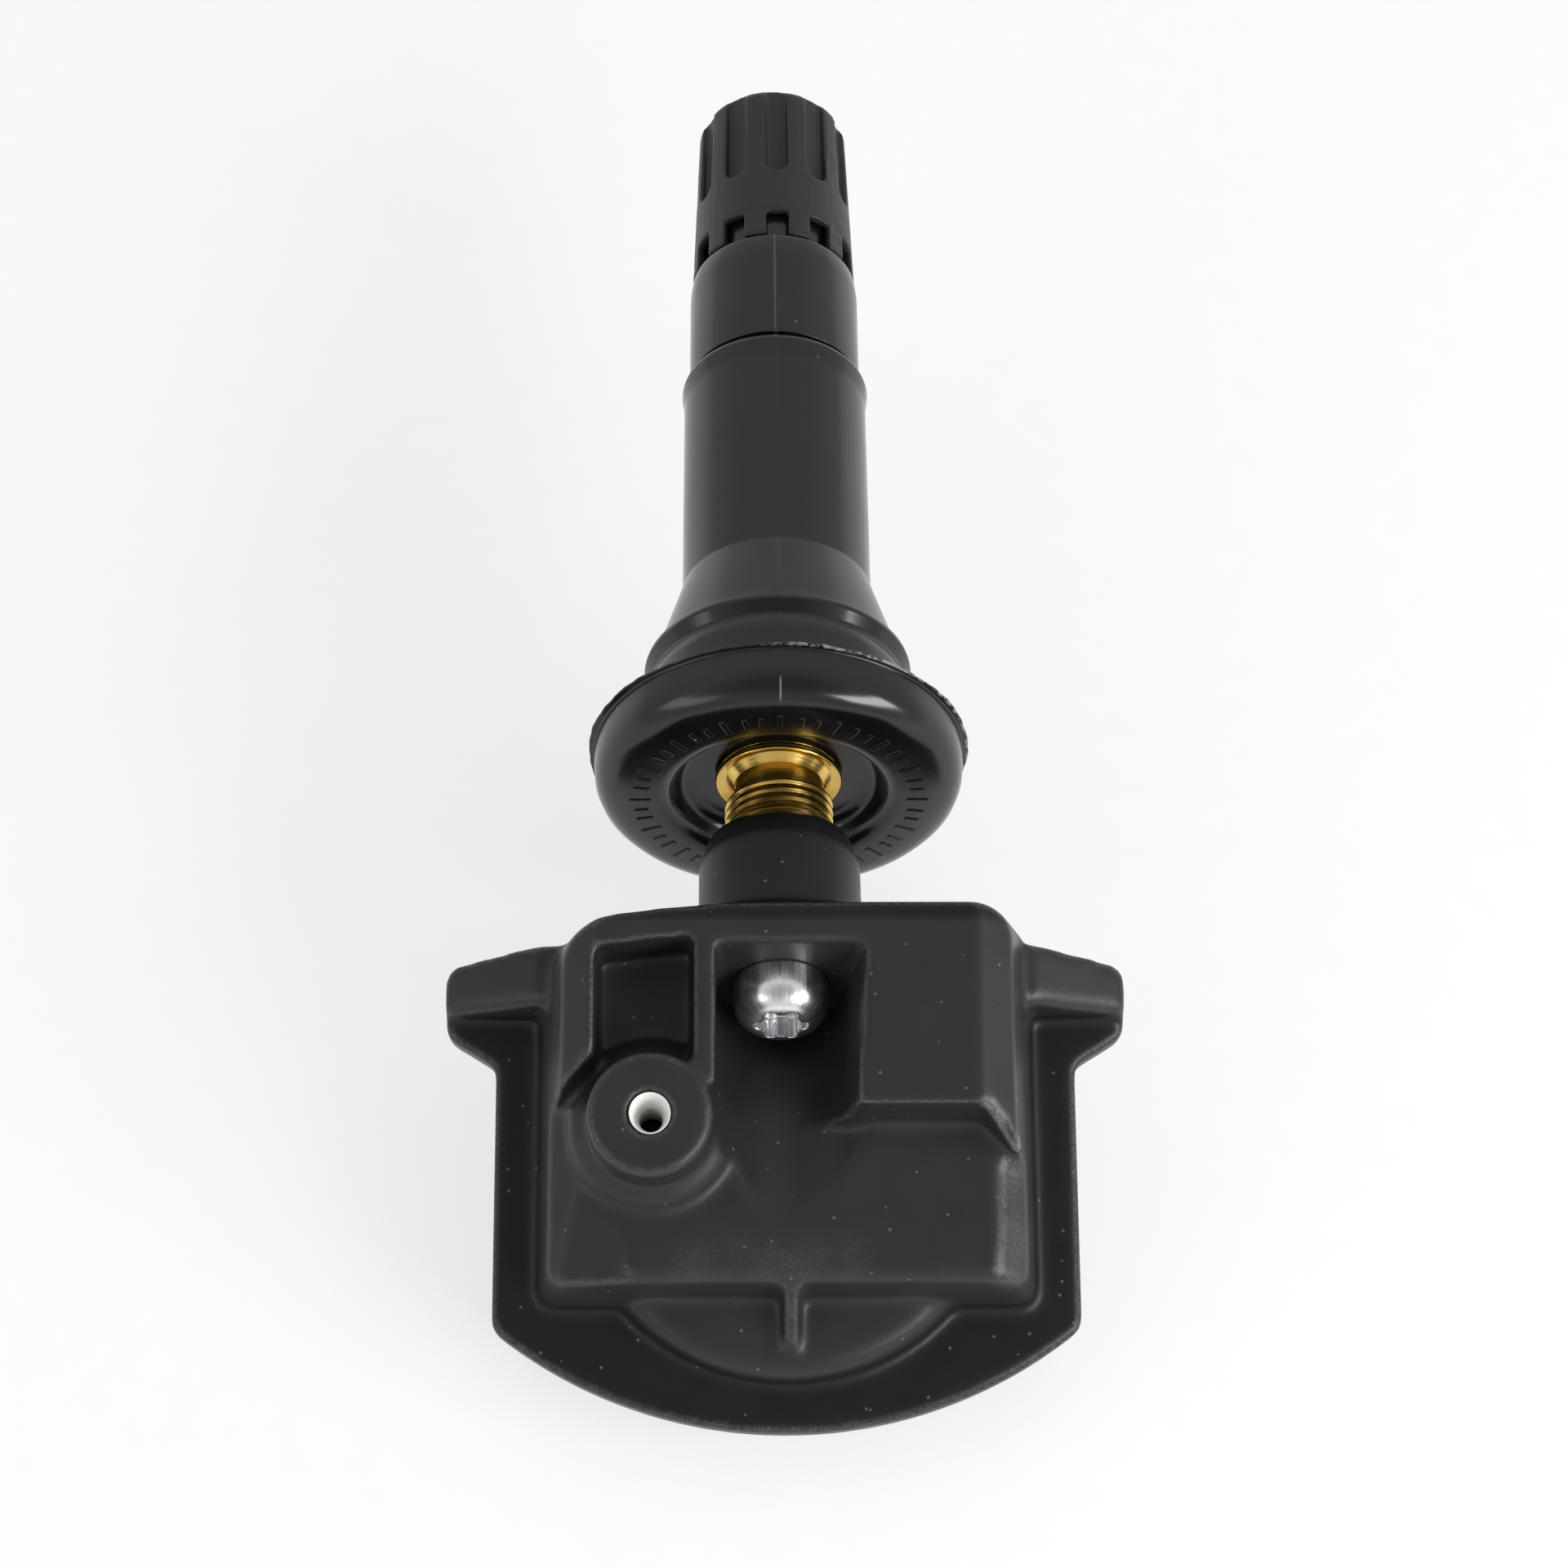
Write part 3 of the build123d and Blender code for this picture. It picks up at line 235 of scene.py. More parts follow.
def draw_line(name, line):
    """New mesh of one closed line, left in edit mode with everything selected."""
    bpy.ops.object.select_all(action="DESELECT")
    bpy.ops.mesh.primitive_plane_add(size=MM)
    piece = bpy.context.object
    piece.name = name
    bpy.ops.object.mode_set(mode="EDIT")
    bpy.ops.mesh.select_all(action="SELECT")
    bpy.ops.mesh.merge(type="CENTER")
    bpy.ops.transform.translate(value=line[0])
    for before, after in zip(line, line[1:] + line[:1]):
        bpy.ops.mesh.extrude_region_move(TRANSFORM_OT_translate={"value": after - before})
    bpy.ops.mesh.select_all(action="SELECT")
    return piece


def close_up():
    """Merge what coincides in the mesh being edited, and turn its faces outwards."""
    bpy.ops.mesh.select_all(action="SELECT")
    bpy.ops.mesh.remove_doubles(threshold=MERGE_WITHIN)
    bpy.ops.mesh.normals_make_consistent(inside=False)
    bpy.ops.object.mode_set(mode="OBJECT")


def turn_piece(name, corners, columns):
    piece = draw_line(name, soft_line(corners))
    bpy.ops.mesh.spin(steps=columns, angle=2 * math.pi, center=(0, 0, 0), axis=(0, 1, 0))
    close_up()
    return piece


print("turning ready")

# %% [markdown]
# ## The rubber stem
# The stem is one moulding: cap end, step, long shank, flare, lip, neck for the rim hole, and flange with
# a dish. Its inner radii are those of the brass. The stations are the solid's own, in millimetres from the
# middle of the rim hole, with the lip drawn as a rounded bead above the neck, and a narrow groove at the
# step. A corner is a radius, a station and how much of it is rounded off.

# %% Rubber stem
STEM_CORNERS = [
    (3.22, -4.3, 0), (5.2, -4.3, 0.6), (5.75, -5.9, 0.7), (9.75, -5.9, 1.9), (9.75, -3.05, 0.12),
    (10.05, -3.02, 0.05), (10.05, -2.9, 0.04), (9.7, -2.8, 0.1), (7.05, -1.8, 0.5),
    (7.0, 0.6, 0.3), (6.78, 1.35, 0.15), (7.2, 2.1, 0.12), (7.12, 2.4, 0.08), (6.75, 2.5, 0.06),
    (5.98, 4.9, 1.6), (5.16, 7.6, 0.06), (5.15, 20.6, 0.3), (5.3, 21.7, 0.2), (5.05, 22.02, 0.04),
    (4.58, 22.05, 0.04), (4.58, 22.4, 0.03), (4.85, 22.44, 0.05), (4.85, 28.9, 0.5), (4.7, 30.0, 0.28),
    (4.1, 30.0, 0.08), (4.1, 32.1, 0.15), (3.63, 32.1, 0), (3.63, 29.17, 0), (3.22, 29.17, 0),
]
STEM_COLUMNS = 192

stem = turn_piece("moulded_stem", STEM_CORNERS, STEM_COLUMNS)
print("stem faces", len(stem.data.polygons))

# %% [markdown]
# The two halves of the mould leave a fine seam along the stem, on the side that faces the camera, and the
# ring where they meet the third part leaves a thin ragged flash round the flange. Both are made by moving
# vertices: one column outwards for the seam, and the rim in and out by a few sines for the flash.

# %% Seam and flash
SEAM_HEIGHT = 0.06
SEAM_COLUMN = 0.02
STEM_FRONT = 4.5
FLANGE_TOP = -4
FLANGE_FRONT = 7.9
FLASH_INNER = 9.9
FLASH_LOW, FLASH_HIGH = -3.1, -2.7
# Each wave of the flash: how many run round it, where it starts, and how high it is in mm.
FLASH_WAVES = [(5, 0.4, 0.03), (13, 1.3, 0.02), (37, 2.2, 0.012), (61, 0.9, 0.012)]
STEM_SMOOTHING = math.radians(32)

seam_count, flash_count = 0, 0
for vertex in stem.data.vertices:
    x, y, z = vertex.co / MM
    radius = math.hypot(x, z)
    on_seam = abs(x) < SEAM_COLUMN and z > STEM_FRONT and (y > FLANGE_TOP or z > FLANGE_FRONT)
    if radius > FLASH_INNER and FLASH_LOW < y < FLASH_HIGH:
        angle = math.atan2(z, x)
        wave = sum(size * math.sin(count * angle + phase) for count, phase, size in FLASH_WAVES)
        vertex.co += Vector((x / radius * wave, wave / 2, z / radius * wave)) * MM
        flash_count += 1
    elif on_seam:
        vertex.co += vertex.normal * SEAM_HEIGHT * MM
        seam_count += 1
stem.data.update()
bpy.ops.object.shade_smooth_by_angle(angle=STEM_SMOOTHING)
print("seam vertices", seam_count, "flash vertices", flash_count)

# %% [markdown]
# The flange's base has a plain ring of raised ticks, long and short, like the scale of a dial. An Array
# round an empty could set them out. Here one tick is a small bevelled bar, and Spin copies it round the
# axis, which needs no helper object.

# %% Ticks on the flange
TICK_RADIUS = 7.3
TICK_LEVEL = -5.85
TICK_HEIGHT = 0.24
TICK_WIDTH = 0.3
TICK_ROUNDING = 0.05
TICK_TURNS = 16
# Each kind of tick: its length in mm, and its place as a share of the step between two of its kind.
TICK_KINDS = [(1.15, 0), (0.75, 1 / 3), (0.9, 0.62)]

def tick_ring(length_mm, first_angle):
    bpy.ops.object.select_all(action="DESELECT")
    bpy.ops.mesh.primitive_cube_add(size=1, location=(TICK_RADIUS * MM, TICK_LEVEL * MM, 0))
    ring = bpy.context.object
    bpy.ops.object.mode_set(mode="EDIT")
    bpy.ops.mesh.select_all(action="SELECT")
    bpy.ops.transform.resize(value=(length_mm * MM, TICK_HEIGHT * MM, TICK_WIDTH * MM))
    bpy.ops.mesh.bevel(offset=TICK_ROUNDING * MM, segments=2)
    bpy.ops.transform.rotate(value=first_angle, orient_axis="Y", center_override=(0, 0, 0))
    bpy.ops.mesh.spin(steps=TICK_TURNS, dupli=True, angle=2 * math.pi, center=(0, 0, 0), axis=(0, 1, 0))
    close_up()
    bpy.ops.object.transform_apply(location=True, rotation=True, scale=True)
    return ring


tick_step = 2 * math.pi / TICK_TURNS
rings = [tick_ring(length_mm, share * tick_step) for length_mm, share in TICK_KINDS]
for ring in rings:
    ring.select_set(True)
bpy.context.view_layer.objects.active = rings[0]
bpy.ops.object.join()
ticks = rings[0]
ticks.name = "flange_ticks"
print("tick faces", len(ticks.data.polygons))

# %% [markdown]
# ## Moulded edges
# Housing, cover, cap and screw keep the form of their solids, but no real moulding or cold-headed screw
# has knife edges. A copy of each solid is merged, remeshed in even voxels and smoothed a few rounds,
# which rounds every edge by about the same small amount. A Bevel modifier would choke on the many short
# edges where the boss, rib and trough meet. Housing and cover are tilted, so they are first laid level, in
# line with the voxels, and everything is scaled to millimetres, because voxels have a least size. How far
# the smoothing sinks a vertex tells how sharp the edge was, so that is kept as an attribute for the wear.

# %% Soft copies of the solids
MODULE_TILT = math.radians(18)
SOLID_MERGE = 0.001 * MM

def copy_solid(node_name, name):
    """A new object with a copy of the solid's mesh, merged where its faces meet."""
    bpy.ops.object.select_all(action="DESELECT")
    piece = bpy.data.objects.new(name, nodes[node_name].data.copy())
    scene.collection.objects.link(piece)
    piece.select_set(True)
    bpy.context.view_layer.objects.active = piece
    bpy.ops.object.mode_set(mode="EDIT")
    bpy.ops.mesh.select_all(action="SELECT")
    bpy.ops.mesh.remove_doubles(threshold=SOLID_MERGE)
    bpy.ops.object.mode_set(mode="OBJECT")
    return piece


def soften(node_name, name, voxel_mm, rounds, tilt=0.0):
    """A copy of a solid with rounded edges. The attribute rubbed says how far each vertex sank."""
    piece = copy_solid(node_name, name)
    level = Matrix.Scale(1 / MM, 4) @ Matrix.Rotation(-tilt, 4, "X")
    piece.data.transform(level)
    voxels = piece.modifiers.new("even_voxels", "REMESH")
    voxels.mode = "VOXEL"
    voxels.voxel_size = voxel_mm
    bpy.ops.object.modifier_apply(modifier=voxels.name)
    sharp = [vertex.co.copy() for vertex in piece.data.vertices]
    rounding = piece.modifiers.new("soft_edges", "SMOOTH")
    rounding.factor = 0.5
    rounding.iterations = rounds
    bpy.ops.object.modifier_apply(modifier=rounding.name)
    rubbed = piece.data.attributes.new("rubbed", "FLOAT", "POINT")
    for vertex, place in zip(piece.data.vertices, sharp):
        rubbed.data[vertex.index].value = (place - vertex.co).dot(vertex.normal) / voxel_mm
    piece.data.transform(level.inverted())
    bpy.ops.object.shade_smooth()
    print(name, "triangles", sum(len(p.vertices) - 2 for p in piece.data.polygons))
    return piece


housing = soften("sensor_housing", "moulded_housing", voxel_mm=0.24, rounds=11, tilt=MODULE_TILT)
cover = soften("back_cover", "moulded_cover", voxel_mm=0.26, rounds=4, tilt=MODULE_TILT)
cap = soften("valve_cap", "moulded_cap", voxel_mm=0.12, rounds=3)
screw = soften("clamp_screw", "headed_screw", voxel_mm=0.06, rounds=2)

# %% [markdown]
# The collar's rim comes a little nearer to the flange than in the solid, and leaves less thread bare. Its
# last ring of vertices is the only part of the housing so near to it, so it is picked by place and moved.

# %% Collar rim
COLLAR_RIM = -10.0
COLLAR_RAMP = 0.4
COLLAR_REACH = 0.65

moved = 0
for vertex in housing.data.vertices:
    share = min(1.0, max(0.0, (vertex.co.y / MM - COLLAR_RIM) / COLLAR_RAMP))
    vertex.co.y += share * COLLAR_REACH * MM
    moved += share > 0
housing.data.update()
print("collar rim vertices", moved)

# %% [markdown]
# ## Threads and the brass lip
# The tail shows a few turns of fine thread between flange and collar, and the cap runs on a coarser one.
# The solids have plain cylinders there, so each thread is a ridge wound on them: a small four-sided
# section, run up the axis by the Screw modifier. Its foot fills four fifths of the pitch and its crest one
# fifth. A bump could draw a thread too, but its outline would stay straight. The lip above the tail is a
# turned ring.

# %% Threads and lip
THREAD_STEPS = 48
THREAD_SMOOTHING = math.radians(30)
LIP_CORNERS = [(2.7, -4.4, 0), (2.7, -4.6, 0), (3.3, -4.84, 0.1), (3.38, -4.6, 0.1), (3.2, -4.32, 0)]
LIP_COLUMNS = 96
LIP_SMOOTHING = math.radians(40)

def wind_thread(name, base_mm, crest_mm, start_mm, pitch_mm, turns):
    sides = [(base_mm, 0), (base_mm, 0.8), (crest_mm, 0.5), (crest_mm, 0.3)]
    section = [Vector((radius, start_mm + share * pitch_mm, 0)) * MM for radius, share in sides]
    piece = draw_line(name, section)
    close_up()
    winding = piece.modifiers.new("winding", "SCREW")
    winding.axis = "Y"
    winding.screw_offset = pitch_mm * MM
    winding.iterations = turns
    winding.steps = THREAD_STEPS
    winding.render_steps = THREAD_STEPS
    bpy.ops.object.modifier_apply(modifier=winding.name)
    bpy.ops.object.mode_set(mode="EDIT")
    bpy.ops.mesh.select_all(action="SELECT")
    bpy.ops.mesh.fill_holes(sides=4)
    close_up()
    bpy.ops.object.shade_smooth_by_angle(angle=THREAD_SMOOTHING)
    return piece


tail_thread = wind_thread("tail_thread", base_mm=2.66, crest_mm=2.84, start_mm=-9.0, pitch_mm=0.5, turns=5)
cap_thread = wind_thread("cap_thread", base_mm=3.57, crest_mm=3.66, start_mm=32.3, pitch_mm=0.794, turns=8)
brass_lip = turn_piece("brass_lip", LIP_CORNERS, LIP_COLUMNS)
bpy.ops.object.shade_smooth_by_angle(angle=LIP_SMOOTHING)
print("thread faces", len(tail_thread.data.polygons), len(cap_thread.data.polygons))

# %% [markdown]
# ## Plain finishes
# The small pieces have one tone with a slight mottling and a fine grain, so one function makes them: two
# near colours mixed by a soft noise, a roughness that wanders a little, and a bump at the grain's size.
# Drawn wire and pressed sheet come out smooth and bright, solder resist shines a little, and moulded
# resin and rubber, fired ceramic and sintered ferrite stay dull.

# %% Plain finishes
def plain_finish(name, dark, light, roughness, metallic=0.0, grain_mm=0.15):
    material, tree, shader, coords = new_material(name)
    mottle = add_node(tree, "TexNoise", Vector=coords, Scale=1 / (12 * grain_mm * MM), Detail=3.0)
    grain = add_node(tree, "TexNoise", Vector=coords, Scale=1 / (grain_mm * MM))
    tone = add_node(tree, "Mix", COLOURS, Factor=mottle, A=linear(dark), B=linear(light))
    dull = add_node(tree, "MapRange", Value=mottle, **NOISE_RANGE,
                    To_Min=roughness * 0.85, To_Max=roughness * 1.15)
    rise = add_node(tree, "Bump", Height=grain, Distance=0.01 * MM, Strength=0.3)
    feed(tree, shader, Base_Color=tone, Roughness=dull, Metallic=metallic, Normal=rise)
    return material


finishes = {
    "seal_rubber": plain_finish("moulded_seal_rubber", "#101010", "#191919", 0.6),
    "spring_steel": plain_finish("drawn_spring_steel", "#8d8f92", "#a9abae", 0.3, 1.0),
    "port_white": plain_finish("white_port_plastic", "#f2f2f0", "#fafaf8", 0.45),
    "board_green": plain_finish("green_solder_resist", "#14502c", "#1c6a3a", 0.35),
    "chip_black": plain_finish("black_chip_resin", "#161617", "#222223", 0.55),
    "nickel": plain_finish("bright_nickel", "#a8a49a", "#c3bfb5", 0.28, 1.0),
    "ferrite": plain_finish("sintered_ferrite", "#2c2c2e", "#3a3a3c", 0.7),
    "copper": plain_finish("enamelled_copper", "#9c4f2b", "#bd6a3c", 0.3, 1.0),
    "cell_steel": plain_finish("pressed_cell_steel", "#a9abac", "#c4c6c7", 0.25, 1.0),
    "capacitor_ceramic": plain_finish("fired_capacitor_ceramic", "#8f7350", "#a88a63", 0.5),
}
print("plain finishes:", len(finishes))

# %% [markdown]
# ## Rubber
# The stem is black rubber from a polished mould: very dark, with a soft gloss that varies where the mould
# was worn, faint waves that break up the reflections, and a few specks of dust. A thin stripe on the seam
# and specks on the right half of the flash are painted paler: painted highlights, as glints of light. A
# painted image could show these marks, but nodes on the object's own coordinates need no unwrapping and
# stay sharp close up.

# %% Painted highlights on seam and flash
SEAM_HALF_WIDTH = 0.03 * MM
FLANGE_SEAM = 0.6
FLANGE_SEAM_LOW, FLANGE_SEAM_HIGH = -5.7 * MM, -4.8 * MM
TIP_SEAM = 0.2
TIP_SEAM_LOW = 22.7 * MM
SEAM_BLUR = 0.1 * MM
FLASH_HIGHLIGHT = 0.85
FLASH_EDGE = 9.92 * MM
FLASH_BLUR = 0.06 * MM
FLASH_SPECK = 0.4 * MM
FLASH_SIDE = 1.5 * MM

def painted_seam_highlight(tree, place):
    """Painted highlight on the seam: a thin stripe down the front of the flange and, fainter, of the tip."""
    aside = add_node(tree, "Math", {"operation": "ABSOLUTE"}, Value=place["X"])
    stripe = add_node(tree, "MapRange", Value=aside, To_Min=1.0, To_Max=0.0,
                      From_Min=SEAM_HALF_WIDTH, From_Max=2 * SEAM_HALF_WIDTH)
    front = add_node(tree, "MapRange", Value=place["Z"],
                     From_Min=STEM_FRONT * MM - SEAM_BLUR, From_Max=STEM_FRONT * MM + SEAM_BLUR)
    above_base = add_node(tree, "MapRange", Value=place["Y"],
                          From_Min=FLANGE_SEAM_LOW - SEAM_BLUR / 2, From_Max=FLANGE_SEAM_LOW + SEAM_BLUR / 2)
    flange = add_node(tree, "MapRange", Value=place["Y"], To_Min=FLANGE_SEAM, To_Max=0.0,
                      From_Min=FLANGE_SEAM_HIGH - SEAM_BLUR, From_Max=FLANGE_SEAM_HIGH + SEAM_BLUR)
    flange = add_node(tree, "Math", {"operation": "MULTIPLY"}, Value=flange, Value_001=above_base)
    tip = add_node(tree, "MapRange", Value=place["Y"], To_Max=TIP_SEAM,
                   From_Min=TIP_SEAM_LOW - SEAM_BLUR, From_Max=TIP_SEAM_LOW + SEAM_BLUR)
    shown = add_node(tree, "Math", {"operation": "ADD"}, Value=flange, Value_001=tip)
    stripe = add_node(tree, "Math", {"operation": "MULTIPLY"}, Value=stripe, Value_001=front)
    return add_node(tree, "Math", {"operation": "MULTIPLY"}, Value=stripe, Value_001=shown)


def painted_flash_highlights(tree, coords, place):
    """Painted highlights on the flash: specks along its right half."""
    across = add_node(tree, "VectorMath", {"operation": "MULTIPLY"}, Vector=coords, Vector_001=(1, 0, 1))
    radius = add_node(tree, "VectorMath", {"operation": "LENGTH"}, Vector=across)
    rim = add_node(tree, "MapRange", Value=radius, From_Min=FLASH_EDGE, From_Max=FLASH_EDGE + FLASH_BLUR)
    right = add_node(tree, "MapRange", Value=place["X"], From_Min=-FLASH_SIDE, From_Max=FLASH_SIDE)
    rim = add_node(tree, "Math", {"operation": "MULTIPLY"}, Value=rim, Value_001=right)
    specks = add_node(tree, "TexNoise", Vector=coords, Scale=1 / FLASH_SPECK)
    specks = add_node(tree, "MapRange", Value=specks, From_Min=0.44, From_Max=0.56, To_Max=FLASH_HIGHLIGHT)
    return add_node(tree, "Math", {"operation": "MULTIPLY"}, Value=rim, Value_001=specks)


print("seam", 2 * SEAM_HALF_WIDTH / MM, "mm wide, flash specks", FLASH_SPECK / MM, "mm")

# %% Rubber
RUBBER_CLOUD = 5 * MM
RUBBER_GRAIN = 0.15 * MM
DUST_SPACING = 2.2 * MM

def rubber_finish():
    material, tree, shader, coords = new_material("moulded_black_rubber")
    place = add_node(tree, "SeparateXYZ", Vector=coords).outputs
    seam = painted_seam_highlight(tree, place)
    flash = painted_flash_highlights(tree, coords, place)
    # The seam's stripe and the flash's specks are painted highlights.
    painted_highlights = add_node(tree, "Math", {"operation": "MAXIMUM"}, Value=seam, Value_001=flash)
    cloud = add_node(tree, "TexNoise", Vector=coords, Scale=1 / RUBBER_CLOUD, Detail=3.0)
    grain = add_node(tree, "TexNoise", Vector=coords, Scale=1 / RUBBER_GRAIN)
    tone = add_node(tree, "Mix", COLOURS, Factor=cloud, A=linear("#090909"), B=linear("#131313"))
    dots = add_node(tree, "TexVoronoi", Vector=coords, Scale=1 / DUST_SPACING)
    dust = add_node(tree, "MapRange", Value=dots, From_Min=0.02, From_Max=0.04, To_Min=0.6, To_Max=0.0)
    dust_and_highlights = add_node(tree, "Math", {"operation": "MAXIMUM"}, Value=dust, Value_001=painted_highlights)
    dust_and_highlight_tone = add_node(tree, "Mix", COLOURS, Factor=dust_and_highlights, A=tone, B=linear("#8a8a8a"))
    gloss = add_node(tree, "MapRange", Value=cloud, **NOISE_RANGE, To_Min=0.15, To_Max=0.24)
    waves = add_node(tree, "Bump", Height=cloud, Distance=0.12 * MM, Strength=0.12)
    rise = add_node(tree, "Bump", Height=grain, Distance=0.008 * MM, Strength=0.2, Normal=waves)
    feed(tree, shader, Base_Color=dust_and_highlight_tone, Roughness=gloss, Normal=rise)
    return material


finishes["stem_rubber"] = rubber_finish()
print("rubber ready")

# %% [markdown]
# ## Moulded plastics
# The module is polyester (PBT) filled with glass fibre: dark grey and dull, with pale fibre ends as
# specks, drawn coarser than real ones so that they show, and edges rubbed lighter. The attribute kept
# from the softening marks the edges, and a fine noise breaks the rubbed line up. Pointiness could find
# the edges too, but it changes with how fine the mesh is. The housing has a few scuffs of its own, each a
# soft band along a short line, and one more such band is a painted highlight on the mitre. Plate and
# collar are painted darker than the block: painted shade. The cap is a plain plastic without fibre.

# %% Places on the housing
PLATE_ORIGIN = Vector((0.3, -14.09, -3.42))
PLATE_ALONG = Vector((0, math.cos(MODULE_TILT), math.sin(MODULE_TILT)))
PLATE_UP = Vector((0, -math.sin(MODULE_TILT), math.cos(MODULE_TILT)))
PLATE_STATION = PLATE_ORIGIN.dot(PLATE_ALONG)
PLATE_LEVEL = PLATE_ORIGIN.dot(PLATE_UP)
# Painted shade on plate and collar: the block's tone fades in between these heights above the plate,
# and out between these places along it.
TONE_IN = (PLATE_LEVEL + 0.2, PLATE_LEVEL + 1.0)
TONE_OUT = (PLATE_STATION + 0.5, PLATE_STATION + 0.9)

def on_plate(x, v, w):
    """Place in metres of a point given in mm across, along and above the housing's plate."""
    return (PLATE_ORIGIN + Vector((x, 0, 0)) + PLATE_ALONG * v + PLATE_UP * w) * MM


def on_block(tree, coords):
    """1 on the housing's block, 0 on its plate and its collar, with a soft change between them."""
    height = add_node(tree, "VectorMath", {"operation": "DOT_PRODUCT"}, Vector=coords, Vector_001=PLATE_UP)
    along = add_node(tree, "VectorMath", {"operation": "DOT_PRODUCT"}, Vector=coords, Vector_001=PLATE_ALONG)
    raised = add_node(tree, "MapRange", Value=height, From_Min=TONE_IN[0] * MM, From_Max=TONE_IN[1] * MM)
    inside = add_node(tree, "MapRange", Value=along, To_Min=1.0, To_Max=0.0,
                      From_Min=TONE_OUT[0] * MM, From_Max=TONE_OUT[1] * MM)
    return add_node(tree, "Math", {"operation": "MULTIPLY"}, Value=raised, Value_001=inside)


print("plate level", round(PLATE_LEVEL, 2), "mm")

# %% Wear and a painted highlight
FIBRE_SPACING = 1.1 * MM

def scuff_and_highlight_band(tree, coords, first, last, reach, strength):
    """A soft band, for a scuff and also for a painted highlight: full strength on the line from first
    to last, nothing beyond its reach.
    """
    start = on_plate(*first)
    run = on_plate(*last) - start
    way = run.normalized()
    away = add_node(tree, "VectorMath", {"operation": "SUBTRACT"}, Vector=coords, Vector_001=start)
    reached = add_node(tree, "VectorMath", {"operation": "DOT_PRODUCT"}, Vector=away, Vector_001=way)
    reached = add_node(tree, "MapRange", Value=reached, From_Max=run.length, To_Max=run.length)
    nearest = add_node(tree, "VectorMath", {"operation": "SCALE"}, Vector=way, Scale=reached)
    away = add_node(tree, "VectorMath", {"operation": "SUBTRACT"}, Vector=away, Vector_001=nearest)
    away = add_node(tree, "VectorMath", {"operation": "LENGTH"}, Vector=away)
    return add_node(tree, "MapRange", Value=away, To_Min=strength, To_Max=0.0,
                    From_Min=0.2 * reach * MM, From_Max=reach * MM)


def wear_and_highlight_places(tree, coords, cloud, grain, specks, scuffs_and_highlight):
    """Wear at its fibre ends, along its edges and on its scuffs, and one painted highlight."""
    cells = add_node(tree, "TexVoronoi", Vector=coords, Scale=1 / FIBRE_SPACING)
    fibre = add_node(tree, "MapRange", Value=cells, From_Min=0.05, From_Max=0.09, To_Min=specks, To_Max=0.0)
    edge = add_node(tree, "Attribute", {"attribute_name": "rubbed"}).outputs["Fac"]
    rubbed = add_node(tree, "MapRange", Value=edge, From_Min=0.12, From_Max=0.65, To_Max=0.5)
    patchy = add_node(tree, "MapRange", Value=grain, From_Min=0.3, From_Max=0.62)
    wear_and_highlight = add_node(tree, "Math", {"operation": "MULTIPLY"}, Value=rubbed, Value_001=patchy)
    wear_and_highlight = add_node(tree, "Math", {"operation": "MAXIMUM"}, Value=wear_and_highlight, Value_001=fibre)
    band_breakup = add_node(tree, "MapRange", Value=grain, From_Min=0.36, From_Max=0.6, To_Min=0.35)
    uneven = add_node(tree, "MapRange", Value=cloud, From_Min=0.35, From_Max=0.6, To_Min=0.4)
    band_breakup = add_node(tree, "Math", {"operation": "MULTIPLY"}, Value=band_breakup, Value_001=uneven)
    # One of these bands is a painted highlight, the rest are scuffs.
    for line in scuffs_and_highlight:
        band = scuff_and_highlight_band(tree, coords, *line)
        scuff_and_highlight = add_node(tree, "Math", {"operation": "MULTIPLY"}, Value=band, Value_001=band_breakup)
        wear_and_highlight = add_node(tree, "Math", {"operation": "MAXIMUM"}, Value=wear_and_highlight, Value_001=scuff_and_highlight)
    return wear_and_highlight


print("fibre ends", FIBRE_SPACING / MM, "mm apart")

# %% Plastics
GRAIN_SIZE = 0.16 * MM
CLOUD_SIZE = 3 * MM

def moulded_plastic(name, dark, light, wear_and_highlight_colour, roughness, specks, painted_shade_tones=None, scuffs_and_highlight=()):
    material, tree, shader, coords = new_material(name)
    cloud = add_node(tree, "TexNoise", Vector=coords, Scale=1 / CLOUD_SIZE, Detail=4.0)
    grain = add_node(tree, "TexNoise", Vector=coords, Scale=1 / GRAIN_SIZE, Detail=3.0)
    tone = add_node(tree, "Mix", COLOURS, Factor=cloud, A=linear(dark), B=linear(light))
    # Plate and collar get darker tones here: painted shade round the block.
    if painted_shade_tones:
        painted_shade_dark, painted_shade_light = painted_shade_tones
        low = add_node(tree, "Mix", COLOURS, Factor=cloud, A=linear(painted_shade_dark), B=linear(painted_shade_light))
        tone = add_node(tree, "Mix", COLOURS, Factor=on_block(tree, coords), A=low, B=tone)
    wear_and_highlight = wear_and_highlight_places(tree, coords, cloud, grain, specks, scuffs_and_highlight)
    shown = add_node(tree, "Mix", COLOURS, Factor=wear_and_highlight, A=tone, B=linear(wear_and_highlight_colour))
    dull = add_node(tree, "MapRange", Value=cloud, **NOISE_RANGE,
                    To_Min=roughness * 0.9, To_Max=roughness * 1.1)
    rise = add_node(tree, "Bump", Height=grain, Distance=0.03 * MM, Strength=0.25)
    feed(tree, shader, Base_Color=shown, Roughness=dull, Normal=rise, Specular_IOR_Level=0.32)
    return material


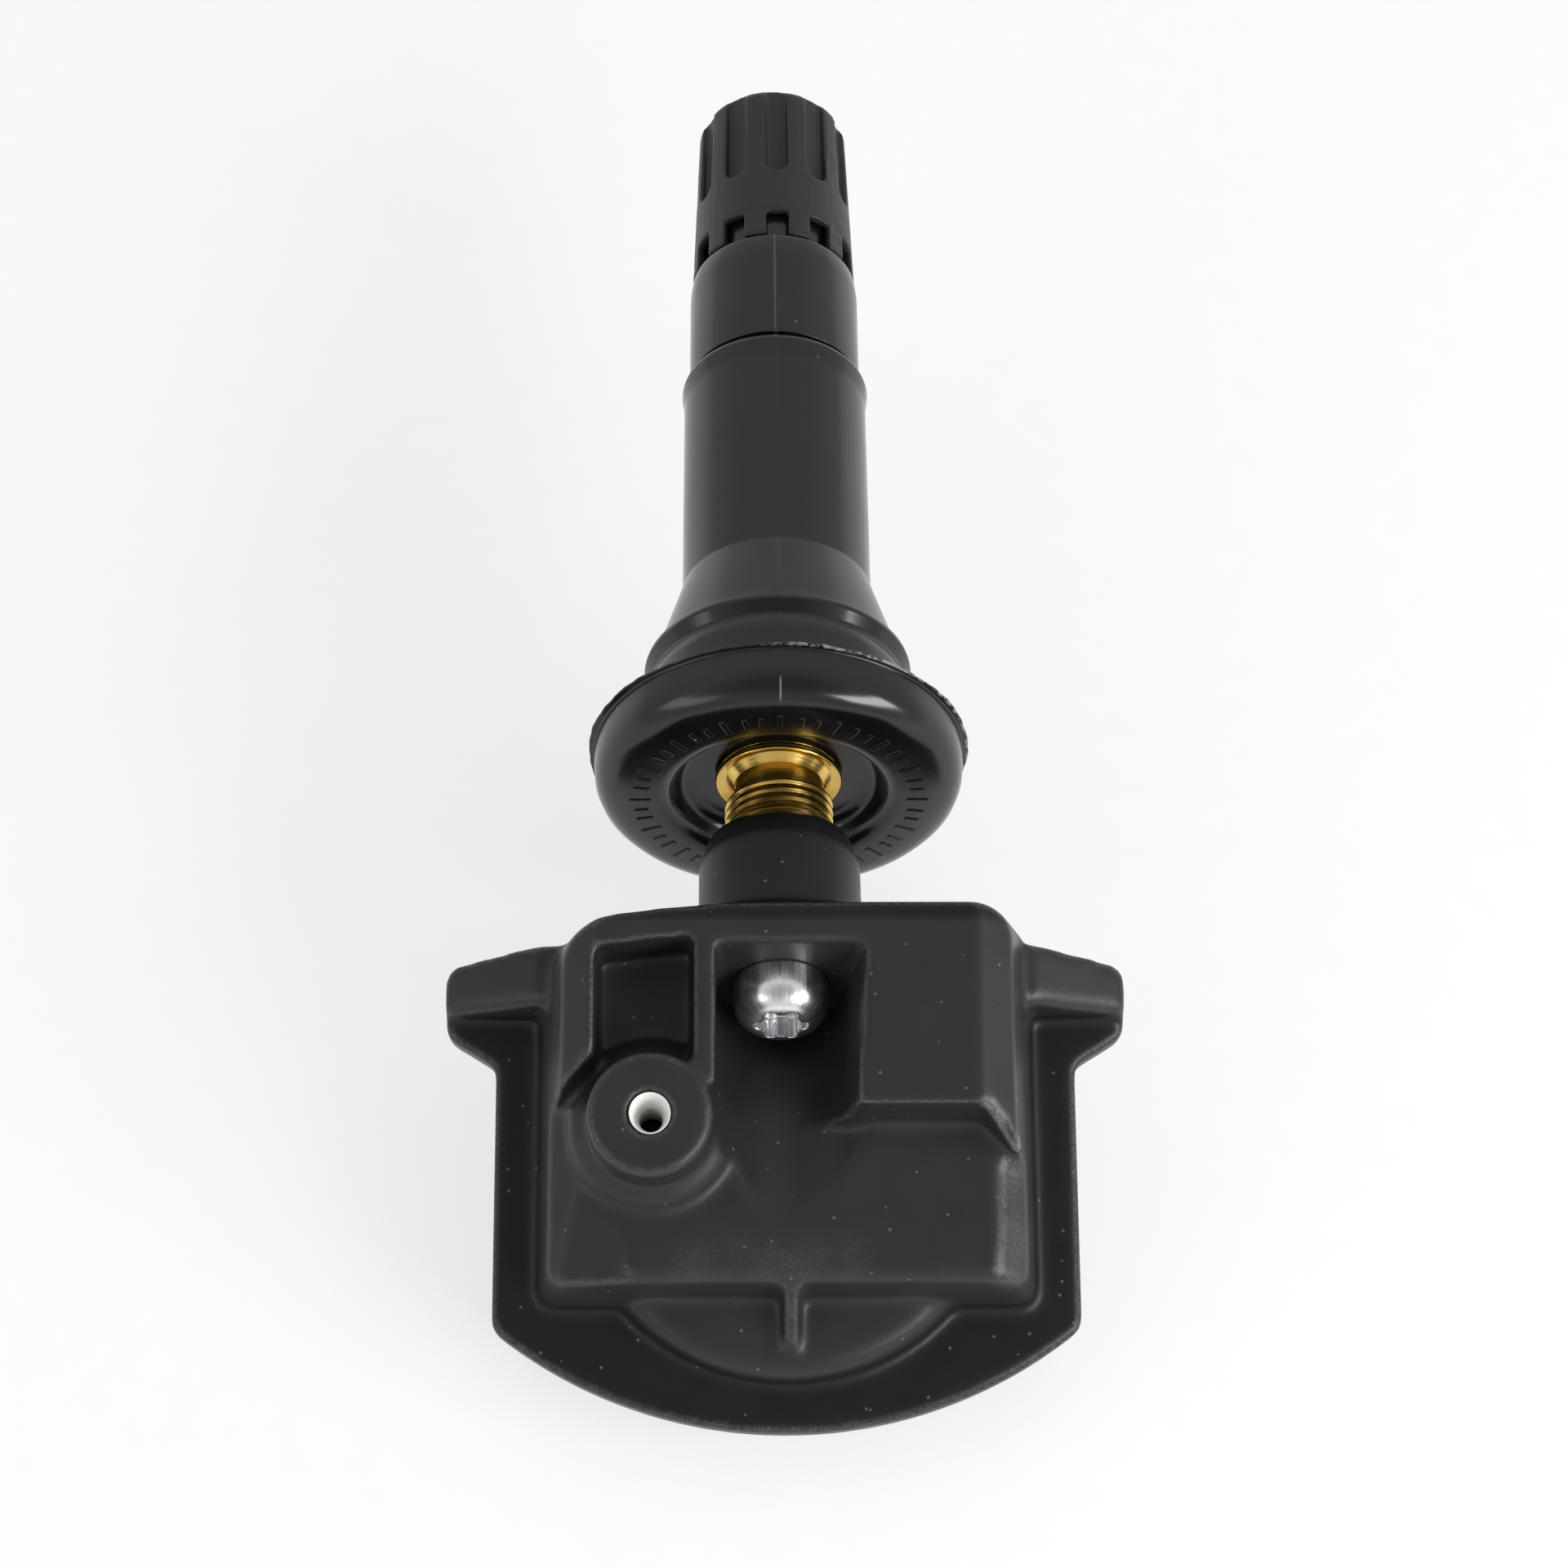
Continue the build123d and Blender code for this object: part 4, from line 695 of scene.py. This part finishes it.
# Each band: the two ends of its line in mm on the plate, its reach in mm, and its strength. In order: a
# painted highlight on the mitre on the right, then scuffs: the ragged edge that runs on from it in two
# lengths, the strip beside that edge, and a rubbed patch far from the valve.
HOUSING_SCUFFS_AND_HIGHLIGHT = [
    # A painted highlight on the mitre's wall.
    ((9.9, -8.7, 7.9), (11.4, -10.5, 5.6), 0.55, 1.0),
    ((10.9, -10.9, 4.6), (10.8, -13.2, 4.5), 0.4, 0.6),
    ((10.8, -13.6, 4.5), (10.5, -16.4, 4.6), 0.5, 0.5),
    ((11.3, -11.5, 4.2), (11.3, -16.8, 4.0), 1.4, 0.2),
    ((-4.5, -15.9, 4.7), (3.0, -15.7, 4.7), 1.6, 0.08),
]
# Painted shade: the darker tones of plate and collar.
HOUSING_PAINTED_SHADE_TONES = ("#0e0f0f", "#131414")

finishes["cap_plastic"] = moulded_plastic(
    "moulded_cap_plastic", "#212322", "#292b2a", "#4a4c4b", roughness=0.45, specks=0.0)
finishes["housing_plastic"] = moulded_plastic(
    "glass_filled_plastic", "#242525", "#2b2c2c", "#8a8b8b", roughness=0.4, specks=0.35,
    painted_shade_tones=HOUSING_PAINTED_SHADE_TONES, scuffs_and_highlight=HOUSING_SCUFFS_AND_HIGHLIGHT)
finishes["cover_plastic"] = moulded_plastic(
    "welded_cover_plastic", "#191a1a", "#212222", "#5a5b5b", roughness=0.5, specks=0.25)
print("plastics ready")

# %% [markdown]
# ## Brass and zinc
# The tail is turned brass, so its fine tool marks run round the valve's axis. The screw is zinc plated
# steel, headed cold: bright, with faint streaks that run out from the middle of its head. Anisotropic
# shading could stretch the highlights, but a noise in one dimension shows the marks themselves.

# %% Metals
TOOL_MARKS = 0.09 * MM
BRASS_STAINS = 1.6 * MM
ZINC_STAINS = 0.8 * MM
# Streaks to the radian, round the screw's axis.
ZINC_STREAKS = 14.0

def brass_finish():
    material, tree, shader, coords = new_material("turned_brass")
    along = add_node(tree, "SeparateXYZ", Vector=coords).outputs["Y"]
    marks = add_node(tree, "TexNoise", {"noise_dimensions": "1D"}, W=along, Scale=1 / TOOL_MARKS)
    stain = add_node(tree, "TexNoise", Vector=coords, Scale=1 / BRASS_STAINS, Detail=4.0)
    tone = add_node(tree, "Mix", COLOURS, Factor=stain, A=linear("#f2d27c"), B=linear("#d0a54a"))
    dull = add_node(tree, "MapRange", Value=stain, **NOISE_RANGE, To_Min=0.12, To_Max=0.26)
    rise = add_node(tree, "Bump", Height=marks, Distance=0.02 * MM, Strength=0.3)
    feed(tree, shader, Base_Color=tone, Roughness=dull, Metallic=1.0, Normal=rise)
    return material


def zinc_finish():
    material, tree, shader, coords = new_material("zinc_plated_steel")
    place = add_node(tree, "SeparateXYZ", Vector=coords).outputs
    angle = add_node(tree, "Math", {"operation": "ARCTAN2"}, Value=place["X"], Value_001=place["Z"])
    streaks = add_node(tree, "TexNoise", {"noise_dimensions": "1D"}, W=angle, Scale=ZINC_STREAKS, Detail=3.0)
    stain = add_node(tree, "TexNoise", Vector=coords, Scale=1 / ZINC_STAINS, Detail=3.0)
    tone = add_node(tree, "Mix", COLOURS, Factor=stain, A=linear("#f6f6f7"), B=linear("#e2e4e6"))
    dull = add_node(tree, "MapRange", Value=streaks, **NOISE_RANGE, To_Min=0.2, To_Max=0.36)
    rise = add_node(tree, "Bump", Height=streaks, Distance=0.03 * MM, Strength=0.08)
    feed(tree, shader, Base_Color=tone, Roughness=dull, Metallic=1.0, Normal=rise)
    return material


finishes["brass"] = brass_finish()
finishes["zinc_steel"] = zinc_finish()
print("metals ready")

# %% [markdown]
# ## Everything on its body
# Each solid keeps its mesh and gets the finish of its slot. Each new piece gets the same, rides on the body
# it belongs to, and hides the solid that it stands for. The cap's piece turns with the cap.

# %% Finishes and bodies
slot_of = {part["node"]: part["material_slot"] for part in frame["record"]["subparts"]}
for name, node in nodes.items():
    node.data.materials.clear()
    node.data.materials.append(finishes[slot_of[name]])

DRESSED = [
    (stem, "valve", "stem_rubber", "rubber_stem"),
    (ticks, "valve", "stem_rubber", None),
    (housing, "valve", "housing_plastic", "sensor_housing"),
    (cover, "valve", "cover_plastic", "back_cover"),
    (cap, "cap", "cap_plastic", "valve_cap"),
    (screw, "valve", "zinc_steel", "clamp_screw"),
    (tail_thread, "valve", "brass", None),
    (cap_thread, "valve", "brass", None),
    (brass_lip, "valve", "brass", None),
]
for piece, body, slot, node_name in DRESSED:
    piece.data.materials.clear()
    piece.data.materials.append(finishes[slot])
    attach(piece, body)
    if node_name:
        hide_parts(node_name)
print("dressed", len(DRESSED), "pieces")

# %% [markdown]
# ## The core's spring
# The little spring in the valve core stands in its barrel, and the pin presses on its upper end. A copy of
# its solid takes its place, with its transform applied, and the solid is hidden.

# %% Core spring
spring = bpy.data.objects.new("wound_spring", nodes["core_spring"].data.copy())
scene.collection.objects.link(spring)
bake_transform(spring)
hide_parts("core_spring")
